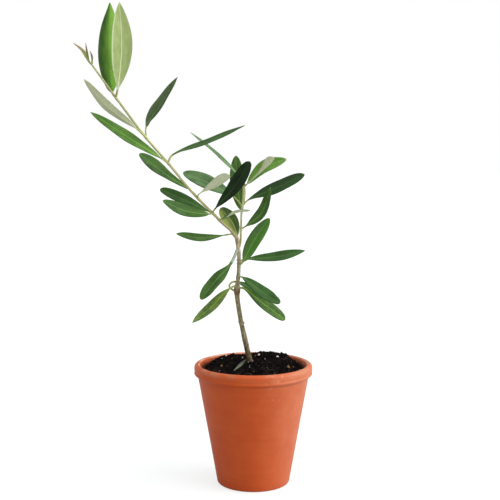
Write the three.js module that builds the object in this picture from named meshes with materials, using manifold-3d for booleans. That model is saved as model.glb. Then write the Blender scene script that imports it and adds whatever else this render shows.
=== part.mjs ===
// A young olive tree in a terracotta pot, as a three.js scene graph.
// Millimetres, +Z up. The origin is the centre of the pot's flat underside, the front looks along -Y.
// The pot, the compost, the trunk, its two boughs and each mass of leaves are separate closed solids.

import * as THREE from 'three';
import { mergeVertices } from 'three/addons/utils/BufferGeometryUtils.js';
import Module from 'manifold-3d';

const wasm = await Module();
wasm.setup();

// ---------------------------------------------------------------- driving dimensions (mm)

const CLEARANCE = 0.3; // air left between two pieces that would touch

// Pot: a thrown and turned flowerpot with a thick rolled rim.
const POT_HEIGHT = 112.7;
const RIM_RADIUS = 55;
const RIM_DEPTH = 10.2; // height of the rim band
const WALL_TOP_RADIUS = 51.5; // outside of the wall, just under the rim
const BASE_RADIUS = 33.9;
const WALL = 5;
const FLOOR = 8;
const FOOT_CHAMFER = 1.2;
const POT_SIDES = 48;

// Compost: fills the pot to just under the rim, lumpy, banked up behind the trunk on the right.
const SOIL_LEVEL = 108.8;
const SOIL_SLOPE = { x: 0.03, y: 0.015 }; // it lies lower at the left and at the front
const SOIL_LUMP = 0.9; // height of the lumps
const SOIL_SPOKES = 36;
const SOIL_RINGS = 8;
const SOIL_BANK = { x: 20, y: 35, height: 6.6, spread: 16 };
const SOIL_COLLAR = { height: 3.4, spread: 12 }; // low mound round the trunk
const SEAT_RADIUS = 4.6; // flat seat under the cut foot of the trunk

// Limbs: the points that each centre line passes through, and [height, radius] pairs.
const TRUNK_FOOT = [-2.9, 9, 112];
const TRUNK = {
  points: [TRUNK_FOOT, [-8.1, 5, 137], [-12.4, 3, 162], [-14.8, 1.5, 180], [-13.2, 0.5, 200],
    [-13.2, 0, 214], [-15.5, -1, 232]],
  girth: [[112, 3.5], [116, 2.8], [132, 2.35], [150, 2.05], [174, 2], [179.5, 2.75], [184, 1.75],
    [208, 1.6], [222, 1.75], [229, 2.2], [232, 1.9]],
  steps: 30,
  sides: 10,
};
const LEADER = {
  points: [[-15, -0.9, 229], [-20.5, -2.4, 238], [-36, -7, 253], [-55, -10, 273.6], [-76.7, -13, 298.6],
    [-95.8, -16, 321], [-122, -19, 356.3], [-141.5, -22, 384.6]],
  girth: [[229, 1.9], [243, 1.6], [267, 1.4], [298, 1.2], [321, 1.05], [356, 0.9], [385, 0.65]],
  steps: 38,
  sides: 8,
};
const SIDE_SHOOT = {
  points: [[-13.6, 0.1, 219], [-11.9, 1.6, 226], [-11.3, 2.3, 239], [-10.8, 4, 253], [-9.3, 5.5, 264],
    [-8.6, 7, 278.6]],
  girth: [[219, 1.15], [253, 0.95], [279, 0.85]],
  steps: 16,
  sides: 8,
};

// Short stubs of shed leaves and resting buds on the trunk: height, direction outward, radius, length.
const STUBS = [
  { at: 150.4, out: [-1, -0.2, 0.3], radius: 0.8, length: 0.7 },
  { at: 149.6, out: [1, -0.2, 0.3], radius: 0.8, length: 0.6 },
  { at: 144.9, out: [-0.2, -1, 0.3], radius: 0.9, length: 0.5 },
  { at: 208.6, out: [-1, -0.3, 0.5], radius: 0.7, length: 0.9 },
];

// Leaves: lance-shaped, leathery, folded a little along the midrib, on a short stalk.
const STALK_RADIUS = 0.8;
const LEAF_SLENDERNESS = 80; // length over thickness at the midrib
const LEAF_LEAST_THICKNESS = 0.8;
const LEAF_EDGE = 0.6; // thickness at the edge over that at the midrib
const LEAF_FOLD = 0.22; // rise of the edge over half the width
const LEAF_STATIONS = 10;
const STALK_STATIONS = 2;
const BASE_TAPER = 0.85; // how the outline narrows to the stalk: 1 is straight, less is rounder
const TIP_TAPER = 0.6; // the same towards the tip, where a leaf has no `point` of its own
const COLLAR_SWELL = 0.75; // a mass grips its limb by a ring this thick, at the leaf scars
const COLLAR_END = 0.35;
const COLLAR_REACH = 2; // how far the ring runs past the leaves' roots
const COLLAR_STEPS = 3;

// Each leaf, from its limb's centre line at the height `at`:
// stalk - offset to the end of its stalk; blade - from there to the leaf's tip;
// bow - how far the blade's middle stands off the straight line; face - where the dark upper side looks;
// width - across the blade; point - how the outline narrows to the tip;
// twist - degrees that the blade turns about its midrib, from base to tip;
// loop - offsets that a looping stalk passes through before its end.
const MASSES = [
  {
    name: 'foliage_trunk_1',
    limb: 'trunk',
    leaves: [
      { at: 186, stalk: [-6.5, -2.5, -2.5], blade: [-35, -9, -31], face: [-0.45, -0.75, 0.6],
        width: 11, point: 0.9 },
      { at: 182.5, stalk: [5, -1.5, 1], blade: [38, -3, -28.5], face: [0.4, -0.7, 0.6], width: 13 },
      { at: 180.5, loop: [[-4.5, 0.5, 1.5], [-8, 3, 5]], stalk: [-3.5, 7.5, 8.5], blade: [43, 1.5, -21],
        bow: [0, 2, 1], face: [0.2, -0.75, 0.6], width: 10.5 },
    ],
  },
  {
    name: 'foliage_trunk_2',
    limb: 'trunk',
    leaves: [
      { at: 193.5, stalk: [4, -3, 0], blade: [31, -13, -20.5], bow: [2, 0, -0.5],
        face: [0.4, -0.75, 0.6], width: 13.5 },
    ],
  },
  {
    name: 'foliage_trunk_3',
    limb: 'trunk',
    leaves: [
      { at: 205, stalk: [5, -3, 5], blade: [21.5, 3.5, 38.5], bow: [-2.5, -1, -1],
        face: [-0.3, -0.95, 0.2], width: 13.5 },
      { at: 208.5, stalk: [7.5, 3, 1.5], blade: [54, 4, 7], bow: [0, 0, -1.5],
        face: [0, -0.7, 0.7], width: 11, point: 0.75 },
    ],
  },
  {
    name: 'foliage_trunk_4',
    limb: 'trunk',
    leaves: [
      { at: 218, stalk: [-6.5, -5, -10], blade: [-27.5, -6, -33.5], bow: [0, 0, -0.5],
        face: [-0.5, -0.8, 0.4], width: 12, twist: -70 },
    ],
  },
  {
    name: 'foliage_fork',
    limb: 'leader',
    leaves: [
      { at: 234, stalk: [-8, -1.5, -0.5], blade: [-44.5, -3.5, 1], bow: [0, -0.5, -3],
        face: [0, -0.6, 0.8], width: 11, point: 0.9 },
      { at: 235, stalk: [0.5, 4.5, 2], blade: [-13, 17, 20.5], face: [-0.3, -0.9, 0.4], width: 13 },
    ],
  },
  {
    name: 'foliage_leader_1',
    limb: 'leader',
    leaves: [
      { at: 247, stalk: [3, -5, 1.5], blade: [25.5, -25, 9], bow: [1, -2, 2],
        face: [-0.25, -0.15, 1], width: 9.5, point: 0.9 },
    ],
  },
  {
    name: 'foliage_leader_2',
    limb: 'leader',
    leaves: [
      { at: 252.5, stalk: [-4.5, 4, 2], blade: [-45, 5, 20.5], bow: [0, 0, 1.5],
        face: [0.35, -0.75, 0.6], width: 12 },
      { at: 253, stalk: [-5, -3.5, -0.5], blade: [-41, -10, 13], bow: [0, 0, -3],
        face: [0.1, -0.8, 0.6], width: 12.5 },
      { at: 253.5, stalk: [2, -3, 4], blade: [31.5, -10, 42], bow: [2, -2, -1],
        face: [-0.5, -0.8, 0.1], width: 13 },
    ],
  },
  {
    name: 'foliage_leader_3',
    limb: 'leader',
    leaves: [
      { at: 265.5, stalk: [-3, 5, 2.5], blade: [-52, 5, 40], bow: [-1, 0, -1.5],
        face: [0.4, -0.75, 0.55], width: 13 },
      { at: 267, stalk: [0.5, -3.5, 3], blade: [26.5, -22, 20.5], face: [-0.2, 0.75, 0.7], width: 11 },
    ],
  },
  {
    name: 'foliage_leader_4',
    limb: 'leader',
    leaves: [
      { at: 298, stalk: [-6.5, -2.5, 5], blade: [-62, -7, 40], bow: [-0.5, 0, -1],
        face: [0.4, -0.8, 0.5], width: 11, point: 0.9 },
      { at: 299, stalk: [4, 2, 6.5], blade: [66, 9, 28], bow: [0, 0, 0.5],
        face: [-0.35, -0.45, 0.85], width: 10, point: 0.9 },
    ],
  },
  {
    name: 'foliage_leader_5',
    limb: 'leader',
    leaves: [
      { at: 320.5, stalk: [-9.5, -5, 8.5], blade: [-43, -12, 42], bow: [-2, -1, -1.5],
        face: [0.3, 0.85, 0.5], width: 11, point: 0.9 },
      { at: 321.5, stalk: [0, 2.5, 9.5], blade: [27, 8, 45.5], bow: [-0.5, 0, 0],
        face: [-0.75, -0.6, 0.4], width: 11, point: 0.8 },
    ],
  },
  {
    name: 'foliage_leader_6',
    limb: 'leader',
    leaves: [
      { at: 355.5, stalk: [-2, 3.5, 6], blade: [-4.5, 8, 79], bow: [-6, 0, -1],
        face: [-0.15, -1, 0.1], width: 15.5, point: 0.75 },
      { at: 357, stalk: [1.5, -2.5, 5.5], blade: [3.5, -8, 75], bow: [4, -1, 0],
        face: [-0.15, 1, 0.1], width: 17, point: 0.8 },
    ],
  },
  {
    name: 'foliage_side_shoot_1',
    limb: 'side_shoot',
    leaves: [
      { at: 238, stalk: [4, -1.5, 2.5], blade: [23, -9, 36], bow: [2.5, -1, -4.5],
        face: [-0.55, -0.75, 0.3], width: 12, point: 0.8 },
    ],
  },
  {
    name: 'foliage_side_shoot_2',
    limb: 'side_shoot',
    leaves: [
      { at: 253.5, stalk: [0.5, 4, 4], blade: [-5.5, 13, 48], bow: [0, 2, 0],
        face: [0, -0.95, 0.3], width: 14 },
      { at: 259, stalk: [5, 0.5, 5.5], blade: [52, 3, 24], bow: [0, 0, 1],
        face: [-0.3, -0.8, 0.55], width: 12.5 },
      { at: 258.5, stalk: [-7.5, 1, 10], blade: [-47.5, 9, 21], bow: [0, 0, 2],
        face: [0.3, -0.85, 0.5], width: 13.5 },
    ],
  },
  {
    name: 'foliage_side_shoot_3',
    limb: 'side_shoot',
    leaves: [
      { at: 277, stalk: [-2, -4, 6], blade: [-47.5, 5, 44], bow: [3, -1, 0],
        face: [0.6, -0.4, 0.7], width: 8.5, point: 0.9 },
      { at: 276.5, stalk: [4.5, 2, 4], blade: [35, 3, 21.5], bow: [0, 0, 1.5],
        face: [-0.4, -0.75, 0.55], width: 12 },
      { at: 277, stalk: [4.5, -3.5, 4.5], blade: [20.5, -17, 22], face: [-0.45, 0.8, 0.5], width: 10 },
    ],
  },
];

// The growing tip: a stem that carries on from the leader, with three leaflets not yet opened.
const TIP_STEM = { length: 5, radius: 0.7 };
const TIP_LEAFLETS = [
  { stalk: [-4, -0.5, 5], blade: [-13, -2, 14.5], face: [0.5, -0.8, 0.5], width: 3.6 },
  { stalk: [-2, 0.5, 4], blade: [-2.5, -1.5, 15.5], face: [-0.6, -0.6, 0.2], width: 2.4 },
  { stalk: [-0.3, 1.8, 3.4], blade: [-1.5, 1, 10], face: [-0.8, -0.3, 0.2], width: 2 },
];

// A shed leaf that lies on the compost, left of the trunk: its two ends, its stalk and its width.
const FALLEN_LEAF = { from: [-19, -20, 109.4], stalk: [1, 3, 0.2], to: [-8.5, 17, 112.2], width: 5, sag: 0.3 };

// ---------------------------------------------------------------- finishes

const FINISH = {
  terracotta: { color: 0xc4683c, roughness: 0.85 },
  compost: { color: 0x1d1713, roughness: 1 },
  bark: { color: 0x8a7a55, roughness: 0.8 },
  shoot: { color: 0xb3a878, roughness: 0.65 },
  leaf: { color: 0x3f6b2c, roughness: 0.5 },
  youngLeaf: { color: 0x94a06a, roughness: 0.6 },
  dryLeaf: { color: 0xa9b489, roughness: 0.7 },
};

function material(finish) {
  return new THREE.MeshStandardMaterial({ ...FINISH[finish], metalness: 0 });
}

// ---------------------------------------------------------------- closed meshes and solids

// Joins rings of points, each counter-clockwise seen from where the next one lies, into a closed skin.
function loft(rings) {
  const sides = rings[0].length;
  const position = rings.flat().flatMap((point) => [point.x, point.y, point.z]);
  const index = [];
  for (let k = 0; k + 1 < rings.length; k += 1) {
    for (let i = 0; i < sides; i += 1) {
      const j = (i + 1) % sides;
      const [a, b, c, d] = [k * sides + i, k * sides + j, (k + 1) * sides + j, (k + 1) * sides + i];
      index.push(a, b, c, a, c, d);
    }
  }
  const last = (rings.length - 1) * sides;
  for (let i = 1; i + 1 < sides; i += 1) {
    index.push(0, i + 1, i);
    index.push(last, last + i, last + i + 1);
  }
  const geometry = new THREE.BufferGeometry();
  geometry.setAttribute('position', new THREE.Float32BufferAttribute(position, 3));
  geometry.setIndex(index);
  return geometry;
}

function toSolid(geometry) {
  const bare = geometry.clone();
  bare.deleteAttribute('normal');
  bare.deleteAttribute('uv');
  const merged = mergeVertices(bare, 1e-4);
  const vertProperties = new Float32Array(merged.attributes.position.array);
  const triVerts = new Uint32Array(merged.index.array);
  return new wasm.Manifold(new wasm.Mesh({ numProp: 3, vertProperties, triVerts }));
}

function toGeometry(solid) {
  const mesh = solid.getMesh();
  const geometry = new THREE.BufferGeometry();
  geometry.setAttribute('position', new THREE.Float32BufferAttribute(mesh.vertProperties, 3));
  geometry.setIndex(Array.from(mesh.triVerts));
  geometry.computeVertexNormals();
  return geometry;
}

// A cut can leave crumbs: the piece proper is the largest one.
function largest(solid) {
  return solid.decompose().sort((a, b) => b.volume() - a.volume())[0];
}

function vector([x, y, z]) {
  return new THREE.Vector3(x, y, z);
}

function ease(from, to, value) {
  return THREE.MathUtils.smoothstep(value, from, to);
}

// ---------------------------------------------------------------- limbs

class Limb {
  constructor({ points, girth, steps, sides }) {
    this.curve = new THREE.CatmullRomCurve3(points.map(vector), false, 'centripetal');
    this.curve.arcLengthDivisions = 800;
    this.girth = girth;
    this.steps = steps;
    this.sides = sides;
  }

  // How far along the limb, from 0 to 1, it reaches a height. Every limb only rises.
  along(height) {
    let low = 0;
    let high = 1;
    for (let i = 0; i < 30; i += 1) {
      const middle = (low + high) / 2;
      if (this.curve.getPointAt(middle).z < height) low = middle;
      else high = middle;
    }
    return low;
  }

  radius(height) {
    const last = this.girth.length - 1;
    const next = this.girth.findIndex(([z]) => z > height);
    if (next === 0) return this.girth[0][1];
    if (next < 0) return this.girth[last][1];
    const [z0, r0] = this.girth[next - 1];
    const [z1, r1] = this.girth[next];
    return r0 + (r1 - r0) * ease(z0, z1, height);
  }

  // A round section of the limb, with the same start on every section, so that the skin doesn't twist.
  ring(u, radius, sides) {
    const centre = this.curve.getPointAt(u);
    const ahead = this.curve.getTangentAt(u);
    const side = new THREE.Vector3(0, -1, 0).cross(ahead).normalize();
    const front = ahead.clone().cross(side);
    return Array.from({ length: sides }, (_, i) => {
      const angle = (2 * Math.PI * i) / sides;
      return centre.clone()
        .addScaledVector(side, radius * Math.cos(angle))
        .addScaledVector(front, radius * Math.sin(angle));
    });
  }

  tube(from, to, steps, sides, radiusAt) {
    const rings = [];
    for (let k = 0; k <= steps; k += 1) {
      const u = from + ((to - from) * k) / steps;
      rings.push(this.ring(u, radiusAt(this.curve.getPointAt(u).z, k / steps), sides));
    }
    return toSolid(loft(rings));
  }

  // The limb itself, or with `extra` the space that its neighbours keep out of.
  solid(extra = 0) {
    return this.tube(0, 1, this.steps, this.sides, (height) => this.radius(height) + extra);
  }
}

// ---------------------------------------------------------------- leaves

// Half the width of a blade at t from its base to its tip, as part of the full half width.
function bladeOutline(t, point = TIP_TAPER) {
  const widest = BASE_TAPER / (BASE_TAPER + point);
  return (t / widest) ** BASE_TAPER * ((1 - t) / (1 - widest)) ** point;
}

function leafSolid(root, leaf) {
  const stalkEnd = root.clone().add(vector(leaf.stalk));
  const tip = stalkEnd.clone().add(vector(leaf.blade));
  const middle = stalkEnd.clone().lerp(tip, 0.5).add(vector(leaf.bow ?? [0, 0, 0]));
  const loop = (leaf.loop ?? []).map((offset) => root.clone().add(vector(offset)));
  const midrib = new THREE.CatmullRomCurve3([root, ...loop, stalkEnd, middle, tip], false, 'centripetal');
  const length = midrib.getLength();
  const bladeLength = stalkEnd.distanceTo(middle) + middle.distanceTo(tip);
  const bladeStart = 1 - bladeLength / length;
  const thickness = Math.max(LEAF_LEAST_THICKNESS, length / LEAF_SLENDERNESS);
  const face = vector(leaf.face);
  const turn = THREE.MathUtils.degToRad(leaf.twist ?? 0);
  const stalkRadius = Math.min(STALK_RADIUS, leaf.width / 3);

  function section(u) {
    const t = Math.max(0, (u - bladeStart) / (1 - bladeStart));
    const centre = midrib.getPointAt(u);
    const ahead = midrib.getTangentAt(u);
    const up = face.clone().applyAxisAngle(ahead, turn * (1 - ease(0, 0.7, t)));
    up.addScaledVector(ahead, -up.dot(ahead)).normalize();
    const side = up.clone().cross(ahead);
    const spread = t > 0 && t < 1 ? bladeOutline(t, leaf.point) : 0;
    const half = Math.max((leaf.width / 2) * spread, t < 0.5 ? stalkRadius : 0.25);
    const open = ease(0, 0.12, t) * (1 - ease(0.9, 1, t)); // 0 on the round stalk, 1 on the flat blade
    const rib = THREE.MathUtils.lerp(t < 0.5 ? stalkRadius : 0.3, thickness / 2, open);
    const edge = THREE.MathUtils.lerp(rib * 0.6, (thickness / 2) * LEAF_EDGE, open);
    const rise = half * LEAF_FOLD * open;
    return [[half, rise + edge], [0, rib], [-half, rise + edge], [-half, rise - edge], [0, -rib],
      [half, rise - edge]].map(([across, above]) => centre.clone()
      .addScaledVector(side, across)
      .addScaledVector(up, above));
  }

  const stalkSteps = STALK_STATIONS + loop.length * 3;
  const rings = [];
  for (let k = 0; k < stalkSteps; k += 1) rings.push(section((bladeStart * k) / stalkSteps));
  for (let k = 0; k <= LEAF_STATIONS; k += 1) {
    rings.push(section(bladeStart + ((1 - bladeStart) * k) / LEAF_STATIONS));
  }
  return toSolid(loft(rings));
}

// A mass: its leaves, their roots sunk in a ring that grips the limb at the leaf scars.
function massSolid(limb, leaves) {
  const heights = leaves.map((leaf) => leaf.at);
  const lowest = limb.along(Math.min(...heights) - COLLAR_REACH);
  const highest = limb.along(Math.max(...heights) + COLLAR_REACH);
  const steps = COLLAR_STEPS + Math.round((Math.max(...heights) - Math.min(...heights)) / 2);
  let mass = limb.tube(lowest, highest, steps, limb.sides, (height, t) => limb.radius(height)
    + CLEARANCE + COLLAR_END + (COLLAR_SWELL - COLLAR_END) * Math.sin(Math.PI * t));
  for (const leaf of leaves) {
    mass = mass.add(leafSolid(limb.curve.getPointAt(limb.along(leaf.at)), leaf));
  }
  return mass;
}

// ---------------------------------------------------------------- pot and compost

function arcPoints(centre, radius, from, to, count) {
  return Array.from({ length: count + 1 }, (_, i) => {
    const angle = THREE.MathUtils.degToRad(from + ((to - from) * i) / count);
    return new THREE.Vector2(centre[0] + radius * Math.cos(angle), centre[1] + radius * Math.sin(angle));
  });
}

// Radius of the pot's inner wall at a height, which the compost follows.
function innerRadius(height) {
  const slope = (WALL_TOP_RADIUS - BASE_RADIUS) / (POT_HEIGHT - RIM_DEPTH);
  return BASE_RADIUS - WALL + slope * height;
}

function potGeometry() {
  const rimBottom = POT_HEIGHT - RIM_DEPTH;
  const lip = 3.4; // radius of the rolled edge, outside
  const mouth = 2; // radius of the rolled edge, inside
  const profile = [
    new THREE.Vector2(0, 0),
    new THREE.Vector2(BASE_RADIUS - FOOT_CHAMFER, 0),
    new THREE.Vector2(BASE_RADIUS, FOOT_CHAMFER),
    new THREE.Vector2(WALL_TOP_RADIUS, rimBottom - 0.6),
    new THREE.Vector2(RIM_RADIUS - 1.6, rimBottom),
    new THREE.Vector2(RIM_RADIUS - 0.4, rimBottom + 1.4),
    ...arcPoints([RIM_RADIUS - lip, POT_HEIGHT - lip], lip, 0, 90, 4),
    ...arcPoints([RIM_RADIUS - WALL + mouth - 0.3, POT_HEIGHT - mouth], mouth, 90, 180, 3),
    new THREE.Vector2(innerRadius(rimBottom - 4), rimBottom - 4),
    new THREE.Vector2(innerRadius(FLOOR), FLOOR),
    new THREE.Vector2(0, FLOOR),
  ];
  const pot = new THREE.LatheGeometry(profile, POT_SIDES);
  pot.rotateX(Math.PI / 2); // the lathe turns about Y
  return pot;
}

// Height of the compost over a spot: its level, its two mounds and its lumps.
function soilHeight(x, y) {
  const bank = Math.hypot(x - SOIL_BANK.x, y - SOIL_BANK.y) / SOIL_BANK.spread;
  const collar = Math.hypot(x - TRUNK_FOOT[0], y - TRUNK_FOOT[1]) / SOIL_COLLAR.spread;
  const [ripple, swell] = [1.3 * Math.sin(y * 0.23), 0.9 * Math.sin(x * 0.19)];
  const lumps = Math.sin(x * 0.41 + ripple) * Math.cos(y * 0.37 + swell);
  const mounds = SOIL_BANK.height * Math.exp(-bank * bank) + SOIL_COLLAR.height * Math.exp(-collar * collar);
  return SOIL_LEVEL + SOIL_SLOPE.x * x + SOIL_SLOPE.y * y + mounds + SOIL_LUMP * lumps;
}

function soilSolid() {
  const bottom = FLOOR + CLEARANCE;
  const shoulder = POT_HEIGHT - RIM_DEPTH - 4;
  const rim = RIM_RADIUS - WALL - 1.9; // clear of the pot's mouth
  const circle = (radius, heightAt) => Array.from({ length: SOIL_SPOKES }, (_, i) => {
    const angle = (2 * Math.PI * i) / SOIL_SPOKES;
    const [x, y] = [radius * Math.cos(angle), radius * Math.sin(angle)];
    return new THREE.Vector3(x, y, heightAt(x, y));
  });
  const rings = [
    circle(innerRadius(bottom) - CLEARANCE, () => bottom),
    circle(innerRadius(shoulder) - CLEARANCE, () => shoulder),
  ];
  for (let k = SOIL_RINGS; k > 0; k -= 1) rings.push(circle((rim * k) / SOIL_RINGS, soilHeight));
  rings.push(circle(0.4, soilHeight));
  return toSolid(loft(rings));
}

// A block below a height, used to cut the trunk's foot level.
function blockBelow(height) {
  const block = new THREE.BoxGeometry(60, 60, 30);
  block.translate(TRUNK_FOOT[0], TRUNK_FOOT[1], height - 15);
  return toSolid(block);
}

function seatAbove(height) {
  const seat = new THREE.CylinderGeometry(SEAT_RADIUS, SEAT_RADIUS, 20, 24);
  seat.rotateX(Math.PI / 2);
  seat.translate(TRUNK_FOOT[0], TRUNK_FOOT[1], height + 10);
  return toSolid(seat);
}

// ---------------------------------------------------------------- the plant in its pot

const group = new THREE.Group();

function piece(name, finish, geometry) {
  const mesh = new THREE.Mesh(geometry, material(finish));
  mesh.name = name;
  group.add(mesh);
}

const limbs = {
  trunk: new Limb(TRUNK),
  leader: new Limb(LEADER),
  side_shoot: new Limb(SIDE_SHOOT),
};

// The trunk with its stubs, or with `extra` the space that its neighbours keep out of.
function trunkSolid(extra = 0) {
  let trunk = limbs.trunk.solid(extra);
  for (const stub of STUBS) {
    const out = vector(stub.out).normalize();
    const start = limbs.trunk.curve.getPointAt(limbs.trunk.along(stub.at));
    const end = start.clone().addScaledVector(out, limbs.trunk.radius(stub.at) + stub.length + extra);
    const peg = new Limb({ points: [start.toArray(), end.toArray()] });
    trunk = trunk.add(peg.tube(0, 1, 3, 7, (height, t) => stub.radius * (1 - 0.5 * t * t) + extra));
  }
  return trunk;
}

const room = {
  trunk: trunkSolid(CLEARANCE),
  leader: limbs.leader.solid(CLEARANCE),
  side_shoot: limbs.side_shoot.solid(CLEARANCE),
};

const trunk = largest(trunkSolid().subtract(blockBelow(TRUNK_FOOT[2])));
const leader = largest(limbs.leader.solid().subtract(room.trunk));
const sideShoot = largest(limbs.side_shoot.solid().subtract(room.trunk).subtract(room.leader));

function fallenLeafSolid() {
  const { from, stalk, to, width, sag } = FALLEN_LEAF;
  const blade = vector(to).sub(vector(from)).sub(vector(stalk)).toArray();
  const lie = { stalk, blade, bow: [0, 0, -sag], face: [0, 0, 1], width };
  return leafSolid(vector(from), lie);
}

// The compost, level under the cut foot and pressed down under the fallen leaf.
function seatedSoil(fallenLeaf) {
  let soil = soilSolid().subtract(seatAbove(TRUNK_FOOT[2] - CLEARANCE));
  for (const lift of [-CLEARANCE, 0, 0.6, 1.2, 1.8]) {
    soil = soil.subtract(fallenLeaf.translate([0, 0, lift]));
  }
  return largest(soil);
}

const fallenLeaf = fallenLeafSolid();

piece('pot', 'terracotta', potGeometry());
piece('soil', 'compost', toGeometry(seatedSoil(fallenLeaf)));
piece('trunk', 'bark', toGeometry(trunk));
piece('leader', 'shoot', toGeometry(leader));
piece('side_shoot', 'shoot', toGeometry(sideShoot));

for (const { name, limb, leaves } of MASSES) {
  let mass = massSolid(limbs[limb], leaves);
  for (const space of Object.values(room)) mass = mass.subtract(space);
  piece(name, 'leaf', toGeometry(largest(mass)));
}

function tipSolid() {
  const end = limbs.leader.curve.getPointAt(1);
  const ahead = limbs.leader.curve.getTangentAt(1);
  const start = end.clone().addScaledVector(ahead, CLEARANCE);
  const stop = start.clone().addScaledVector(ahead, TIP_STEM.length);
  const stem = new Limb({ points: [start.toArray(), stop.toArray()] });
  let tip = stem.tube(0, 1, 3, 8, (height, t) => TIP_STEM.radius * (1 - 0.4 * t));
  const root = start.clone().addScaledVector(ahead, 1);
  for (const leaflet of TIP_LEAFLETS) tip = tip.add(leafSolid(root, leaflet));
  return largest(tip.subtract(room.leader));
}

piece('leader_tip', 'youngLeaf', toGeometry(tipSolid()));
piece('fallen_leaf', 'dryLeaf', toGeometry(fallenLeaf));

export default group;
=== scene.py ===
# A young olive tree in a terracotta pot.
# Metres, +Z up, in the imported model's own frame: the origin is the centre of the pot's flat underside.

from math import atan, cos, exp, hypot, pi, radians, sin
from random import Random

import bpy
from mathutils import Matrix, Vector, noise


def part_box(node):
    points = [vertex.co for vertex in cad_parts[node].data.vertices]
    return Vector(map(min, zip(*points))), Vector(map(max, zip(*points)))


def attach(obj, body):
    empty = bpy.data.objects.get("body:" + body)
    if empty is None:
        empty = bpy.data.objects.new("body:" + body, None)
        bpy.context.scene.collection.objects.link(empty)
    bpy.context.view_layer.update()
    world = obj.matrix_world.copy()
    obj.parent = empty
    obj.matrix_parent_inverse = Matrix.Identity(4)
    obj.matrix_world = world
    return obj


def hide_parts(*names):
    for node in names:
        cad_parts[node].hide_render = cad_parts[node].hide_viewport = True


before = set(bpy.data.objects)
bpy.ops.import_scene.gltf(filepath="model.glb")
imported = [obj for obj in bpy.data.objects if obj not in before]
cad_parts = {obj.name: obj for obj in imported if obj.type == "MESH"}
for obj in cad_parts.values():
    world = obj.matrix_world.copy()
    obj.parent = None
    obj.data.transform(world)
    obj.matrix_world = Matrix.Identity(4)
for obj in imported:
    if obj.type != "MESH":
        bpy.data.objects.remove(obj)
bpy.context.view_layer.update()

# ---------------------------------------------------------------- studio
# A white table that runs on out of sight, in a white room. A wide soft light hangs overhead, a second
# one stands to the right of the camera and a weak one behind on the left. The camera stands under a
# metre off, level with the leaves, and looks a little down.

MM = 0.001
CAMERA_PLACE = (-3.05 * MM, -905.5 * MM, 308.2 * MM)
CAMERA_LENS = 71.0
CAMERA_DOWN = 5.64
TABLE_REACH = 12.0
WHITE_ROOM = 0.44
TABLE_GLOW = 0.68
CARD_SEEN = (0.29, 0.29, 0.29)

scene = bpy.context.scene
scene.view_settings.view_transform = "Standard"


def placed(name, data):
    """A new object in the scene."""
    made = bpy.data.objects.new(name, data)
    scene.collection.objects.link(made)
    return made


lens = bpy.data.cameras.new("camera")
lens.lens = CAMERA_LENS
camera = placed("camera", lens)
camera.location = CAMERA_PLACE
camera.rotation_euler = (radians(90 - CAMERA_DOWN), 0, 0)
scene.camera = camera


def soft_light(name, comes_from, strength, spread):
    """A wide even light from a direction, as a big diffuser gives it."""
    data = bpy.data.lights.new(name, "SUN")
    data.energy = strength
    data.angle = radians(spread)
    placed(name, data).rotation_euler = Vector(comes_from).to_track_quat("Z", "Y").to_euler()


soft_light("overhead", (0.1, -0.25, 1), strength=1.8, spread=110)
soft_light("key", (1, -0.26, 0.5), strength=2.95, spread=62)
soft_light("fill", (-1, 0.3, 0.5), strength=0.3, spread=90)


def add_node(tree, kind, inputs=(), **settings):
    """Adds a node. Its inputs, by place or by name, are values, sockets or Fields."""
    made = tree.nodes.new(kind)
    for name, value in settings.items():
        setattr(made, name, value)
    for key, value in inputs.items() if isinstance(inputs, dict) else enumerate(inputs):
        plug(tree, made.inputs[key], value)
    return made


def plug(tree, socket, value):
    if isinstance(value, Field):
        value = value.socket
    if isinstance(value, bpy.types.NodeSocket):
        tree.links.new(value, socket)
    elif socket.type == "RGBA" and len(value) == 3:
        socket.default_value = (*value, 1)
    else:
        socket.default_value = value


class Field:
    """A node's output that can be reckoned with: each sign adds the Math node that it stands for."""

    def __init__(self, socket):
        self.socket = socket
        self.tree = socket.id_data

    def math(self, operation, *others):
        made = add_node(self.tree, "ShaderNodeMath", (self, *others), operation=operation)
        return Field(made.outputs[0])

    def __add__(self, other):
        return self.math("ADD", other)

    def __sub__(self, other):
        return self.math("SUBTRACT", other)

    def __mul__(self, other):
        return self.math("MULTIPLY", other)

    def __truediv__(self, other):
        return self.math("DIVIDE", other)

    def __pow__(self, other):
        return self.math("POWER", other)

    def __abs__(self):
        return self.math("ABSOLUTE")

    def taken_from(self, whole):
        return (self * -1) + whole

    def at_least(self, low):
        return self.math("MAXIMUM", low)

    def at_most(self, high):
        return self.math("MINIMUM", high)

    def eased(self, start, stop, low=0.0, high=1.0):
        """Low up to start, high from stop, and a smooth step between."""
        made = add_node(self.tree, "ShaderNodeMapRange", (self, start, stop, low, high),
                        interpolation_type="SMOOTHSTEP")
        return Field(made.outputs[0])


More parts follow.
